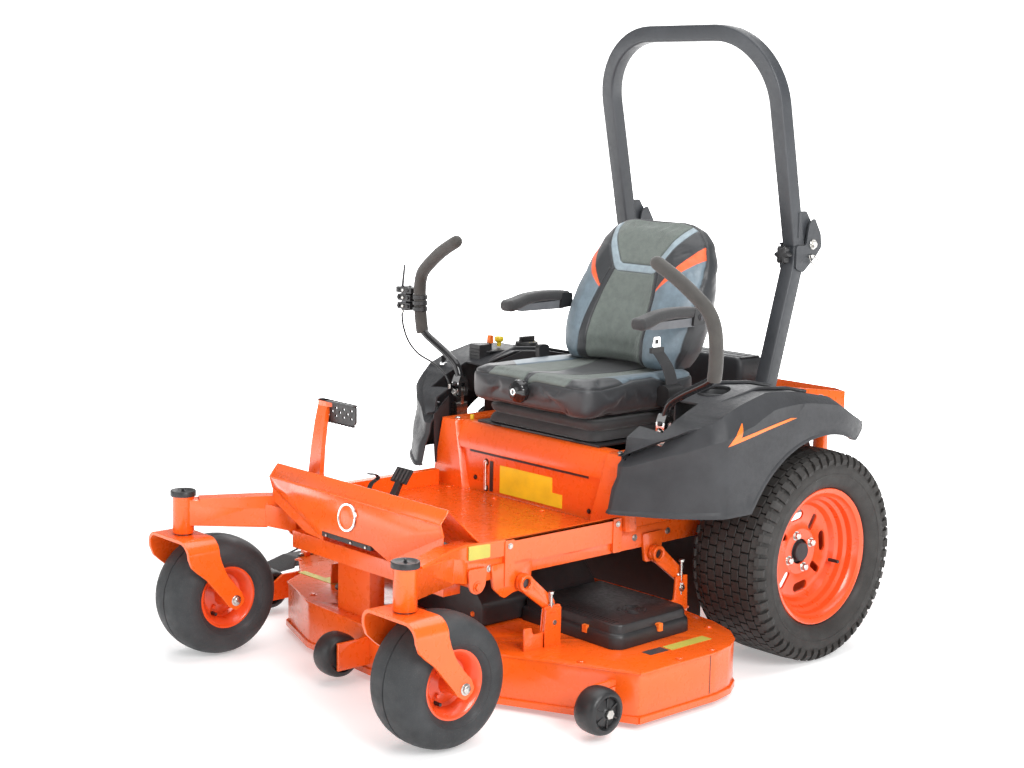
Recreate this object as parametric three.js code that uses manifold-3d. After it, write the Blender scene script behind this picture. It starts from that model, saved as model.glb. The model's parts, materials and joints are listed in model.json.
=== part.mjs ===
// Zero turn mower with a folding roll bar, built as a scene graph of separate pieces.
// Millimetres, +Z up, the front of the machine faces -Y and the operator's left is +X.
// Every piece is laid out from the rear axle line (y = 0), the ground (z = 0) and the
// middle of the machine (x = 0). The whole machine is then moved so that its origin is
// the middle of its footprint, on the ground.
import * as THREE from "three";
import { ConvexGeometry } from "three/addons/geometries/ConvexGeometry.js";
import { mergeVertices } from "three/addons/utils/BufferGeometryUtils.js";
import Module from "manifold-3d";

const wasm = await Module();
wasm.setup();

// ---- driving dimensions ----------------------------------------------------------
const GAP = 0.4; // between pieces that touch
const FOOTPRINT_X = -108; // middle of the footprint, from the middle of the machine
const FOOTPRINT_Y = -446; // middle of the footprint, from the rear axle

const WHEEL_X = 532; // drive wheel centre
const WHEEL_R = 295.5;
const WHEEL_HALF = 124; // half the tyre's width
const WHEEL_BEAD = 100;
const WHEEL_LIP_R = 191;
const WHEEL_BARREL_R = 165;

const CASTER_X = 479; // swivel axis
const CASTER_Y = -1348;
const CASTER_TRAIL = 100; // axle behind the swivel axis
const CASTER_R = 165;
const CASTER_HALF = 82.5;
const CASTER_BEAD = 62.5;
const CASTER_LIP_R = 86;
const CASTER_BARREL_R = 68;
const CROWN_Z = 336; // underside of the fork crown
const CROWN_T = 12;
const FORK_HALF = 103; // swivel axis to the outside of a fork leg
const LEG_T = 10;

const RAIL_IN = 322; // inner face of a side rail
const RAIL_OUT = 378;
const RAIL_LOW = 342;
const RAIL_TOP = 400;
const RAIL_FRONT = -1070;
const RAIL_REAR = 420;
const BARREL_R = 29;
const BARREL_LOW = 351;
const BARREL_TOP = 453;
const STEM_R = 14;

const SHEET = 5; // sheet metal thickness
const FLOOR_BACK = -530;
const FLOOR_FRONT = -985;
const SHIELD_HALF = 362;
const SHIELD_TOP_Y = -1122;
const SHIELD_TOP_Z = 533;

const DECK_HALF = 716;
const DECK_TOP = 146;
const DECK_LOW = 16;
const SPINDLE_SIDE_X = 462;
const SPINDLE_SIDE_Y = -600;
const SPINDLE_MID_Y = -762;
const BLADE_R = 234;
const ROLLER_R = 59;
const ROLLER_HALF = 35;

const LIFT_X = 396; // plane of the lift arms
const LIFT_FRONT_Y = -900;
const LIFT_REAR_Y = -415;
const LIFT_Z = 323;
const LIFT_REACH = 100; // arm end behind its pivot
const LIFT_DROP = 83; // arm end below its pivot

const SEAT_HALF = 240;
const SEAT_FRONT = -500;
const SEAT_BACK = -80;
const SEAT_LOW = 680;
const SEAT_TOP = 775;

const FENDER_IN = 385;
const FENDER_OUT = 632;
const ARCH_R = 340;
const CUP_R = 42;
const CUP_X = 452;
const CUP_Y = -262;
const CUP_LOW = 664; // floor of the cup holder

const LEVER_X = 420;
const LEVER_Y = -420;
const LEVER_LOW_Z = 572; // fore and aft pivot
const LEVER_OUT_Z = 660; // swing-out pivot

const ROPS_X = 333; // middle of an upright
const ROPS_HALF = 24; // half the tube
const ROPS_FRONT_Y = 170; // front face of the tube at the fold
const ROPS_FOLD_Y = 245;
const ROPS_FOLD_Z = 1130;
const ROPS_TOP = 1752;

// ---- finishes --------------------------------------------------------------------
function finish(color, roughness, metalness) {
  return new THREE.MeshStandardMaterial({ color, roughness, metalness });
}
const orangePaint = finish(0xf0430b, 0.35, 0.1);
const rimPaint = finish(0xe83a14, 0.35, 0.1);
const blackPaint = finish(0x2c2e31, 0.45, 0.3);
const darkPlastic = finish(0x3a3c3f, 0.6, 0);
const blackPlastic = finish(0x1c1c1e, 0.5, 0);
const tyreRubber = finish(0x2b2a2a, 0.85, 0);
const softRubber = finish(0x35302c, 0.8, 0);
const steel = finish(0xb9bcc0, 0.3, 0.9);
const aluminium = finish(0x9a9da0, 0.4, 0.8);
const vinyl = finish(0x3b3f40, 0.6, 0);
const yellowPlastic = finish(0xf2d21c, 0.45, 0);
const orangePlastic = finish(0xf58a1c, 0.45, 0);

// ---- solids ----------------------------------------------------------------------
// A closed geometry as a manifold-3d solid whose faces point outwards.
function solid(geometry) {
  const bare = new THREE.BufferGeometry();
  bare.setAttribute("position", geometry.getAttribute("position"));
  if (geometry.index) bare.setIndex(geometry.index);
  const merged = mergeVertices(bare, 1e-4);
  const corners = Array.from(merged.index.array);
  const triVerts = [];
  for (let i = 0; i < corners.length; i += 3) {
    const [a, b, c] = corners.slice(i, i + 3);
    if (a !== b && b !== c && c !== a) triVerts.push(a, b, c);
  }
  const build = (order) =>
    new wasm.Manifold(
      new wasm.Mesh({
        numProp: 3,
        vertProperties: merged.attributes.position.array,
        triVerts: new Uint32Array(order),
      }),
    );
  const made = build(triVerts);
  if (made.volume() > 0) return made;
  const turned = [];
  for (let i = 0; i < triVerts.length; i += 3) {
    turned.push(triVerts[i], triVerts[i + 2], triVerts[i + 1]);
  }
  return build(turned);
}

function join(...pieces) {
  return pieces.reduce((whole, piece) => whole.add(piece));
}

function cut(whole, ...pieces) {
  return pieces.reduce((left, piece) => left.subtract(piece), whole);
}

// A block between opposite corners.
function block(x0, x1, y0, y1, z0, z1) {
  const g = new THREE.BoxGeometry(x1 - x0, y1 - y0, z1 - z0);
  return solid(g.translate((x0 + x1) / 2, (y0 + y1) / 2, (z0 + z1) / 2));
}

// A cylinder along an axis, between two places on it.
function round(axis, radius, from, to, u, v, sides = 16) {
  const g = new THREE.CylinderGeometry(radius, radius, to - from, sides);
  const middle = (from + to) / 2;
  if (axis === "x") g.rotateZ(Math.PI / 2).translate(middle, u, v);
  if (axis === "y") g.translate(u, middle, v);
  if (axis === "z") g.rotateX(Math.PI / 2).translate(u, v, middle);
  return solid(g);
}

// A profile of [radius, distance along the axis] turned about X or Z through the origin.
function turned(axis, profile, sides) {
  const points = profile.map(([r, along]) => new THREE.Vector2(r, along));
  const g = new THREE.LatheGeometry(points, sides);
  if (axis === "x") g.rotateZ(-Math.PI / 2);
  if (axis === "z") g.rotateX(Math.PI / 2);
  return solid(g);
}

function shapeOf(points, corner) {
  const shape = new THREE.Shape();
  const count = points.length;
  const at = (i) => new THREE.Vector2(...points[(i + count) % count]);
  for (let i = 0; i < count; i++) {
    const here = at(i);
    const before = at(i - 1).sub(here);
    const after = at(i + 1).sub(here);
    const r = Math.min(corner, before.length() / 2.1, after.length() / 2.1);
    const a = here.clone().add(before.setLength(r));
    const b = here.clone().add(after.setLength(r));
    if (i === 0) shape.moveTo(a.x, a.y);
    else shape.lineTo(a.x, a.y);
    shape.quadraticCurveTo(here.x, here.y, b.x, b.y);
  }
  shape.closePath();
  return shape;
}

// An outline pushed along the axis that its plane leaves over; corners may be rounded.
function plate(plane, points, from, to, corner = 0) {
  const shape = corner
    ? shapeOf(points, corner)
    : new THREE.Shape(points.map(([u, v]) => new THREE.Vector2(u, v)));
  const g = new THREE.ExtrudeGeometry(shape, {
    depth: to - from,
    bevelEnabled: false,
    curveSegments: 2,
  });
  g.translate(0, 0, from);
  const m = new THREE.Matrix4();
  if (plane === "yz") m.set(0, 0, 1, 0, 1, 0, 0, 0, 0, 1, 0, 0, 0, 0, 0, 1);
  if (plane === "xz") m.set(1, 0, 0, 0, 0, 0, 1, 0, 0, 1, 0, 0, 0, 0, 0, 1);
  return solid(g.applyMatrix4(m));
}

function hull(points) {
  return solid(new ConvexGeometry(points.map((p) => new THREE.Vector3(...p))));
}

// A flat facet given a thickness along Y.
function facet(points, thickness) {
  const back = points.map(([x, y, z]) => [x, y + thickness, z]);
  return hull([...points, ...back]);
}

// A straight bar of rectangular section whose width lies flat.
function bar(p, q, width, height) {
  const along = new THREE.Vector2(q[0] - p[0], q[1] - p[1]).normalize();
  const dx = (-along.y * width) / 2;
  const dy = (along.x * width) / 2;
  const corners = [];
  for (const [x, y, z] of [p, q]) {
    for (const s of [-1, 1]) {
      corners.push([x + s * dx, y + s * dy, z - height / 2]);
      corners.push([x + s * dx, y + s * dy, z + height / 2]);
    }
  }
  return hull(corners);
}

// A bent round rod through points, with softened bends.
function rod(points, radius, steps, sides = 8, tension = 0.35) {
  const path = new THREE.CatmullRomCurve3(
    points.map((p) => new THREE.Vector3(...p)),
    false,
    "catmullrom",
    tension,
  );
  const section = new THREE.Shape();
  for (let i = 0; i < sides; i++) {
    const turn = (i / sides) * 2 * Math.PI;
    const x = radius * Math.cos(turn);
    const y = radius * Math.sin(turn);
    if (i === 0) section.moveTo(x, y);
    else section.lineTo(x, y);
  }
  section.closePath();
  return solid(
    new THREE.ExtrudeGeometry(section, { steps, extrudePath: path }),
  );
}

// ---- scene graph -----------------------------------------------------------------
const machine = new THREE.Group();
machine.position.set(-FOOTPRINT_X, -FOOTPRINT_Y, 0);

function group(parent, x, y, z) {
  const g = new THREE.Group();
  g.position.set(x, y, z);
  parent.add(g);
  return g;
}

function put(parent, name, shape, material) {
  const mesh = shape.getMesh();
  const step = mesh.numProp;
  const position = new Float32Array(mesh.numVert * 3);
  for (let i = 0; i < mesh.numVert; i++) {
    const start = i * step;
    position.set(mesh.vertProperties.subarray(start, start + 3), i * 3);
  }
  const g = new THREE.BufferGeometry();
  g.setAttribute("position", new THREE.BufferAttribute(position, 3));
  g.setIndex(new THREE.BufferAttribute(mesh.triVerts, 1));
  g.computeVertexNormals();
  const piece = new THREE.Mesh(g, material);
  piece.name = name;
  parent.add(piece);
}

// ---- chassis ---------------------------------------------------------------------
// Side rail, caster arm and swivel barrel, welded into one, with the lift pivots.
function frameRail() {
  const rail = block(RAIL_IN, RAIL_OUT, RAIL_FRONT, RAIL_REAR, RAIL_LOW, RAIL_TOP);
  const bend = [384, -1152, 394];
  const inner = bar([350, RAIL_FRONT - 4, 371], bend, 54, 60);
  const outer = bar([382, -1146, 394], [CASTER_X - 6, CASTER_Y + 12, 409], 50, 70);
  const barrel = round("z", BARREL_R, BARREL_LOW, BARREL_TOP, CASTER_X, CASTER_Y, 24);
  const cap = round("z", 33, BARREL_TOP - 1, BARREL_TOP + 11, CASTER_X, CASTER_Y, 24);
  const bore = round("z", STEM_R + 1.5, 300, 444, CASTER_X, CASTER_Y);
  const lugFront = plate(
    "yz",
    [
      [-1000, RAIL_TOP - 20],
      [-990, 318],
      [-955, 288],
      [-925, 300],
      [-866, 300],
      [-860, RAIL_TOP - 20],
    ],
    RAIL_OUT - 1,
    RAIL_OUT + 8,
    8,
  );
  const lugRear = plate(
    "yz",
    [
      [-455, RAIL_TOP - 20],
      [-445, 300],
      [-385, 300],
      [-375, RAIL_TOP - 20],
    ],
    RAIL_OUT - 1,
    RAIL_OUT + 8,
    8,
  );
  const pins = [LIFT_FRONT_Y, LIFT_REAR_Y].map((y) =>
    round("x", 8, RAIL_OUT, LIFT_X + 7, y, LIFT_Z, 16),
  );
  const welded = join(rail, inner, outer, barrel, cap, lugFront, lugRear, ...pins);
  return cut(welded, bore);
}

// Cross channel under the foot shield, with the lugs and pin of the deck lift pedal.
function frontCrossmember() {
  const channel = block(-RAIL_IN + GAP, RAIL_IN - GAP, -1100, -1045, 303, 350);
  const lugs = [-320, -252].map((x) =>
    plate(
      "yz",
      [
        [-1056, 345],
        [-1056, 368],
        [-1040, 392],
        [-1014, 392],
        [-1006, 366],
        [-1046, 308],
      ],
      x,
      x + 6,
      5,
    ),
  );
  const pin = round("x", 6, -316, -244, -1028, 374, 16);
  return join(channel, ...lugs, pin);
}

// Floor, slanted foot rest and the folded shield in front of it, one sheet-metal piece.
function footPlatform() {
  const low = RAIL_TOP + GAP;
  const floor = block(-375, 375, FLOOR_FRONT - 4, FLOOR_BACK, low, low + SHEET);
  const rest = hull(
    [-SHIELD_HALF, SHIELD_HALF].flatMap((x) => [
      [x, SHIELD_TOP_Y, SHIELD_TOP_Z],
      [x, SHIELD_TOP_Y + 3, SHIELD_TOP_Z - SHEET],
      [x, FLOOR_FRONT, low],
      [x, FLOOR_FRONT + 4, low + SHEET],
    ]),
  );
  const foldY = SHIELD_TOP_Y - 26;
  const foldZ = 500;
  const footHalf = 105;
  const footY = SHIELD_TOP_Y - 37;
  const footZ = 398;
  const lip = facet(
    [-SHIELD_HALF, SHIELD_HALF].flatMap((x) => [
      [x, SHIELD_TOP_Y - 1, SHIELD_TOP_Z],
      [x, foldY, foldZ],
    ]),
    SHEET,
  );
  const face = facet(
    [
      [-SHIELD_HALF, foldY, foldZ],
      [SHIELD_HALF, foldY, foldZ],
      [footHalf, footY, footZ],
      [-footHalf, footY, footZ],
    ],
    SHEET,
  );
  const cheeks = [-1, 1].map((s) =>
    facet(
      [
        [s * SHIELD_HALF, foldY, foldZ],
        [s * footHalf, footY, footZ],
        [s * 140, footY + 27, 362],
        [s * SHIELD_HALF, foldY + 11, 467],
      ],
      SHEET,
    ),
  );
  const pedalSlot = block(-318, -248, -1117, -985, 380, 524);
  return cut(join(floor, rest, lip, face, ...cheeks), pedalSlot);
}

// Seat box: two folded side columns, the front panel between them and a top flange.
function seatBox() {
  const low = RAIL_TOP + GAP;
  const sides = [-1, 1].flatMap((s) => {
    const x = [s * 293, s * 378].sort((a, b) => a - b);
    const column = block(x[0], x[1], -528, -70, low, 594);
    const inside = block(x[0] + 4, x[1] - 4, -524, -60, low - 5, 590);
    const ends = [s * 376, s * 426].sort((a, b) => a - b);
    const pin = round("x", 7, ...ends, LEVER_Y, LEVER_LOW_Z);
    return [join(cut(column, inside), pin)];
  });
  const panel = block(-294, 294, -520, -516, low, 598);
  const flange = block(-294, 294, -520, -478, 594, 598);
  const brace = block(-294, 294, -76, -70, 540, 594);
  return join(...sides, panel, flange, brace);
}

function fuelTank() {
  const body = plate(
    "xz",
    [
      [-165, 412],
      [165, 412],
      [165, 565],
      [-165, 565],
    ],
    -450,
    -130,
    30,
  );
  const neck = round("z", 32, 560, 585, 90, -200, 20);
  return join(body, neck);
}

// Engine plate across the rails, the axle beam and the bolted guard round the engine.
function engineDeck() {
  const inner = RAIL_IN - GAP;
  const floor = block(-inner, inner, 90, 500, 372, 378);
  const beam = block(-inner, inner, -70, 95, 348, 378);
  const rearBeam = block(-inner, inner, 380, RAIL_REAR, 345, 373);
  const outline = [
    [368, 125],
    [368, 425],
    [262, 521],
    [-262, 521],
    [-368, 425],
    [-368, 125],
    [-363, 125],
    [-363, 422],
    [-260, 515],
    [260, 515],
    [363, 422],
    [363, 125],
  ];
  const wall = plate("xy", outline, 560, 728);
  const slope = hull(
    [-400, 400].flatMap((x) => [
      [x, 100, 728],
      [x, 100, 800],
      [x, 600, 800],
      [x, 600, 660],
    ]),
  );
  const posts = [-240, 200].map((x) => block(x, x + 40, 497, 518, 372, 570));
  return join(floor, beam, rearBeam, cut(wall, slope), ...posts);
}

function transaxle() {
  const housing = plate(
    "yz",
    [
      [-95, 236],
      [-60, 216],
      [60, 216],
      [95, 240],
      [95, 336],
      [-95, 336],
    ],
    150,
    318,
    14,
  );
  const axleTube = round("x", 34, 310, 420, 0, WHEEL_R - 8, 20);
  const axle = round("x", 17, 400, 512, 0, WHEEL_R, 20);
  const fan = round("z", 62, 330, 344, 232, 10, 20);
  return join(housing, axleTube, axle, fan);
}

// Vertical-shaft engine: crankcase, two cylinders in a vee, blower housing, air cleaner
// and the muffler behind.
function engine() {
  const crankcase = block(-120, 120, 170, 400, 378 + GAP, 560);
  const cylinders = [-1, 1].map((s) =>
    hull(
      [-45, 45].flatMap((w) =>
        [430, 545].flatMap((z) => [
          [s * 60 + w, 300 - s * w, z],
          [s * 150 + w, 430 - s * w, z],
        ]),
      ),
    ),
  );
  const blower = round("z", 172, 556, 690, 0, 280, 28);
  const crown = round("z", 120, 688, 708, 0, 280, 28);
  const cleaner = plate(
    "xz",
    [
      [-140, 690],
      [235, 690],
      [225, 792],
      [-130, 792],
    ],
    100,
    215,
    18,
  );
  const stand = block(-80, 80, 140, 220, 560, 700);
  const muffler = round("x", 48, -200, 200, 448, 470, 20);
  return join(crankcase, ...cylinders, blower, crown, cleaner, stand, muffler);
}

// ---- fender ----------------------------------------------------------------------
const FENDER_TOP = [
  [200, 655],
  [164, 680],
  [57, 735],
  [-80, 762],
  [-200, 772],
  [-300, 748],
  [-410, 705],
  [-500, 655],
  [-552, 612],
];

function fenderTopAt(y) {
  const i = FENDER_TOP.findIndex(([at]) => at <= y);
  const [y1, z1] = FENDER_TOP[i];
  const [y0, z0] = FENDER_TOP[i - 1];
  return z0 + ((z1 - z0) * (y - y0)) / (y1 - y0);
}

function arch(radius, from, to, steps) {
  const points = [];
  for (let i = 0; i <= steps; i++) {
    const turn = ((from + ((to - from) * i) / steps) * Math.PI) / 180;
    points.push([radius * Math.cos(turn), WHEEL_R + radius * Math.sin(turn)]);
  }
  return points;
}

// A moulded shell open underneath: side profile and plan crossed, then hollowed.
// A well that is kept inside the hollow stands down from the top skin.
function fenderShell(well) {
  const wall = 5;
  const front = [
    [-602, 458],
    [-440, 456],
  ];
  const outside = [...front, ...arch(ARCH_R, 149, 64, 8), [205, 628], ...FENDER_TOP];
  const plan = [
    [FENDER_IN, -600],
    [410, -602],
    [540, -515],
    [625, -425],
    [FENDER_OUT, -370],
    [FENDER_OUT, 90],
    [600, 205],
    [FENDER_IN, 205],
  ];
  const skin = plate("yz", outside, 380, 640).intersect(
    plate("xy", plan, 400, 800, 25),
  );
  const inside = [
    [-593, 380],
    [210, 380],
    ...FENDER_TOP.map(([y, z]) => [y < -540 ? y + 9 : Math.min(y, 192), z - wall]),
  ];
  const planInside = [
    [FENDER_IN + wall, -593],
    [408, -594],
    [536, -509],
    [620, -422],
    [FENDER_OUT - wall, -368],
    [FENDER_OUT - wall, 88],
    [596, 198],
    [FENDER_IN + wall, 198],
  ];
  const hollow = plate("yz", inside, 380, 640).intersect(
    plate("xy", planInside, 350, 800, 25),
  );
  const leverGap = block(370, 472, -486, -352, 540, 800);
  return cut(skin, well ? cut(hollow, well) : hollow, leverGap);
}

// The left fender has a cup holder beside the seat.
function fenderLeft() {
  const well = round("z", CUP_R + 4, CUP_LOW - 4, 900, CUP_X, CUP_Y, 20);
  const cup = round("z", CUP_R, CUP_LOW, 900, CUP_X, CUP_Y, 20);
  return cut(fenderShell(well), cup);
}

// The right fender also carries the control stack beside the seat.
function fenderRight() {
  const stack = block(440, 488, -326, -283, fenderTopAt(-283) - 30, 790);
  return join(fenderShell(), stack);
}

// ---- roll bar --------------------------------------------------------------------
// Leaning lower upright with the two outer hinge plates and the fold pin.
function ropsBase() {
  const foot = [
    [-24, RAIL_TOP + GAP],
    [25, RAIL_TOP + GAP],
    [118, 727],
    [ROPS_FRONT_Y + 2 * ROPS_HALF, 1078],
    [ROPS_FRONT_Y + 2 * ROPS_HALF, 1126],
    [ROPS_FRONT_Y, 1126],
    [ROPS_FRONT_Y, 1078],
    [69, 727],
  ];
  const tube = plate("yz", foot, ROPS_X - ROPS_HALF, ROPS_X + ROPS_HALF);
  const side = [
    [172, 1062],
    [206, 1050],
    [262, 1096],
    [286, 1122],
    [280, 1160],
    [250, 1206],
    [226, 1190],
    [215, 1128],
    [172, 1128],
  ];
  const plates = [-1, 1].map((s) => {
    const x = ROPS_X + s * (ROPS_HALF + 3.5);
    return plate("yz", side, x - 3, x + 3, 8);
  });
  const bolt = round("x", 6, ROPS_X - 34, ROPS_X + 34, 190, 1090, 12);
  const pin = round("x", 8, ROPS_X - 40, ROPS_X + 40, ROPS_FOLD_Y, ROPS_FOLD_Z, 16);
  return join(tube, ...plates, bolt, pin);
}

// One bent tube over both uprights, with a hinge ear behind each leg. Its own frame has
// the fold pin's axis at y = 0, z = 0.
function ropsHoop() {
  const lean = -0.209; // the hoop leans forward, per unit of height
  const lowZ = 1129 - ROPS_FOLD_Z;
  const topZ = ROPS_TOP - ROPS_FOLD_Z;
  const outer = ROPS_X + ROPS_HALF;
  const bend = 235;
  const outline = new THREE.Shape();
  outline.moveTo(-outer, lowZ);
  outline.lineTo(-outer, topZ - bend);
  outline.absarc(-outer + bend, topZ - bend, bend, Math.PI, Math.PI / 2, true);
  outline.absarc(outer - bend, topZ - bend, bend, Math.PI / 2, 0, true);
  outline.lineTo(outer, lowZ);
  outline.lineTo(outer - 2 * ROPS_HALF, lowZ);
  const small = bend - 2 * ROPS_HALF;
  outline.absarc(outer - bend, topZ - bend, small, 0, Math.PI / 2, false);
  outline.absarc(-outer + bend, topZ - bend, small, Math.PI / 2, Math.PI, false);
  outline.lineTo(-outer + 2 * ROPS_HALF, lowZ);
  outline.closePath();
  const flat = new THREE.ExtrudeGeometry(outline, {
    depth: 2 * ROPS_HALF,
    bevelEnabled: false,
    curveSegments: 7,
  });
  const place = new THREE.Matrix4();
  const front = ROPS_FRONT_Y - ROPS_FOLD_Y;
  place.set(1, 0, 0, 0, 0, lean, 1, front, 0, 1, 0, 0, 0, 0, 0, 1);
  const tube = solid(flat.applyMatrix4(place));
  const ears = [-1, 1].map((s) => {
    const x = s * ROPS_X;
    const shape = [
      [-40, 6],
      [-22, 6],
      [-14, -16],
      [14, -16],
      [22, 6],
      [16, 44],
      [-18, 92],
      [-44, 92],
    ];
    return plate("yz", shape, x - 17, x + 17, 5);
  });
  const holes = [-1, 1].map((s) => round("x", 9, s * ROPS_X - 40, s * ROPS_X + 40, 0, 0, 16));
  return cut(join(tube, ...ears), ...holes);
}

// ---- wheels ----------------------------------------------------------------------
// Rim turned about X: two lips, a deep barrel, a dished disc and a hub.
function rim(half, lipR, barrelR, disc, hubR, boreR, hubIn, hubOut) {
  return turned(
    "x",
    [
      [boreR, -hubIn],
      [hubR, -hubIn],
      [hubR, disc - 4],
      [barrelR - 6, disc - 4],
      [barrelR - 6, -half],
      [lipR, -half - 5],
      [lipR, -half],
      [barrelR, -half + 5],
      [barrelR, half - 5],
      [lipR, half],
      [lipR, half + 5],
      [barrelR - 6, half],
      [barrelR - 6, disc + 4],
      [hubR, disc + 4],
      [hubR, hubOut],
      [boreR, hubOut],
      [boreR, -hubIn],
    ],
    20,
  );
}

// Tyre turned about X: a hollow carcass open towards the rim. outerSide is the right half
// of the outer profile, from the tread to the bead, as [radius, offset from the middle].
function tyre(outerSide, innerSide, sides) {
  const mirror = (list) => list.map(([r, x]) => [r, -x]);
  const outer = [...mirror(outerSide).reverse(), ...outerSide];
  const inner = [...innerSide, ...mirror(innerSide).reverse()];
  return turned("x", [...outer, ...inner, outer[0]], sides);
}

function driveTyre() {
  const outer = [
    [WHEEL_R, 70],
    [WHEEL_R - 13, 112],
    [WHEEL_R - 60, WHEEL_HALF],
    [WHEEL_LIP_R + 3, WHEEL_BEAD + 8],
    [WHEEL_LIP_R + 3, WHEEL_BEAD - 1],
    [WHEEL_BARREL_R + 4, WHEEL_BEAD - 6],
  ];
  const inner = [
    [WHEEL_BARREL_R + 4, WHEEL_BEAD - 20],
    [WHEEL_R - 60, WHEEL_HALF - 18],
    [WHEEL_R - 22, 90],
  ];
  return tyre(outer, inner, 24);
}

function casterTyre() {
  const outer = [
    [CASTER_R, 22],
    [CASTER_R - 14, 60],
    [CASTER_R - 48, CASTER_HALF],
    [CASTER_LIP_R + 3, CASTER_BEAD + 8],
    [CASTER_LIP_R + 3, CASTER_BEAD - 1],
    [CASTER_BARREL_R + 3, CASTER_BEAD - 5],
  ];
  const inner = [
    [CASTER_BARREL_R + 3, CASTER_BEAD - 14],
    [CASTER_R - 48, CASTER_HALF - 14],
    [CASTER_R - 18, 34],
  ];
  return tyre(outer, inner, 20);
}

// Caster fork about its swivel axis, ground at z = 0: stem, crown, two legs and the axle.
function casterFork() {
  const top = CROWN_Z + CROWN_T;
  const stem = round("z", STEM_R, top - 2, 438, 0, 0, 16);
  const crown = plate(
    "xy",
    [
      [-FORK_HALF, -52],
      [FORK_HALF, -52],
      [FORK_HALF, 46],
      [40, 46],
      [-40, 46],
      [-FORK_HALF, 46],
    ],
    CROWN_Z,
    top,
    12,
  );
  const side = [
    [-52, CROWN_Z + 6],
    [46, CROWN_Z + 6],
    [52, 292],
    [78, 232],
    [CASTER_TRAIL + 24, CASTER_R + 12],
    [CASTER_TRAIL + 20, CASTER_R - 22],
    [CASTER_TRAIL - 14, CASTER_R - 26],
    [CASTER_TRAIL - 34, CASTER_R - 2],
    [10, 236],
    [-38, 272],
  ];
  const legs = [-1, 1].map((s) => {
    const x = s * (FORK_HALF - LEG_T / 2);
    return plate("yz", side, x - LEG_T / 2, x + LEG_T / 2, 12);
  });
  const axle = round("x", 10, -FORK_HALF - 9, FORK_HALF + 9, CASTER_TRAIL, CASTER_R, 12);
  return join(stem, crown, ...legs, axle);
}

// ---- mower deck ------------------------------------------------------------------
const DECK_CORNER = [
  [DECK_HALF, -520],
  [702, -450],
  [668, -395],
  [615, -352],
  [531, -322],
  [440, -310],
  [398, -300],
  [385, -262],
];
const DECK_OUTLINE = [
  [DECK_HALF, -800],
  ...DECK_CORNER,
  ...DECK_CORNER.map(([x, y]) => [-x, y]).reverse(),
  [-DECK_HALF, -800],
  [-560, -900],
  [-510, -985],
  [-300, -1062],
  [0, -1078],
  [150, -1064],
  [384, -967],
];

function deckShell() {
  const shrink = (points, by) =>
    points.map(([x, y]) => {
      const k = 1 - by / 560;
      return [x * (1 - by / DECK_HALF), (y + 680) * k - 680];
    });
  const outside = plate("xy", DECK_OUTLINE, DECK_LOW, DECK_TOP, 14);
  const inside = plate("xy", shrink(DECK_OUTLINE, SHEET + 1), 0, DECK_TOP - SHEET, 14);
  const spindleHoles = SPINDLES.map(([, x, y]) => round("z", 32, 100, 200, x, y));
  const chuteMouth = block(-DECK_HALF - 10, -DECK_HALF + 30, -790, -500, 30, 128);
  const hangers = [-1, 1].flatMap((s) => {
    const x = s * (LIFT_X + 12);
    const front = [
      [-905, DECK_TOP - 3],
      [-905, 205],
      [-882, 205],
      [-876, 185],
      [-840, 185],
      [-834, 250],
      [-782, 250],
      [-782, DECK_TOP - 3],
    ];
    const rear = [
      [-410, DECK_TOP - 3],
      [-410, 168],
      [-350, 185],
      [-345, 248],
      [-300, 248],
      [-296, DECK_TOP + 6],
    ];
    return [plate("yz", front, x - 3, x + 3, 4), plate("yz", rear, x - 3, x + 3, 4)];
  });
  const strips = [-1, 1].map((s) => {
    const x = [s * 380, s * 420].sort((a, b) => a - b);
    return block(x[0], x[1], -372, -328, DECK_TOP - 4, DECK_TOP + 3);
  });
  const frontStay = cut(
    block(-200, -60, -1035, -985, DECK_TOP - 3, 290),
    block(-194, -66, -1029, -970, DECK_TOP, 300),
  );
  const sideAxles = [-1, 1].flatMap((s) => {
    const x = [s * 654, s * 660].sort((a, b) => a - b);
    const pin = [s * 655, s * 741].sort((a, b) => a - b);
    return [
      block(x[0], x[1], -942, -800, 48, 104),
      round("x", 7, pin[0], pin[1], -925, 75, 12),
    ];
  });
  const midBracket = block(-13, -5, -1178, -1070, 44, 118);
  const midAxle = round("x", 7, -100, -6, -1150, 75, 12);
  const welded = join(
    cut(outside, inside, ...spindleHoles, chuteMouth),
    ...hangers,
    ...strips,
    frontStay,
    ...sideAxles,
    midBracket,
    midAxle,
  );
  const slots = [-1, 1].map((s) =>
    block(s * (LIFT_X + 12) - 8, s * (LIFT_X + 12) + 8, -814, -802, 170, 232),
  );
  return cut(welded, ...slots);
}

const SPINDLES = [
  ["left", SPINDLE_SIDE_X, SPINDLE_SIDE_Y],
  ["centre", 0, SPINDLE_MID_Y],
  ["right", -SPINDLE_SIDE_X, SPINDLE_SIDE_Y],
];

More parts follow.
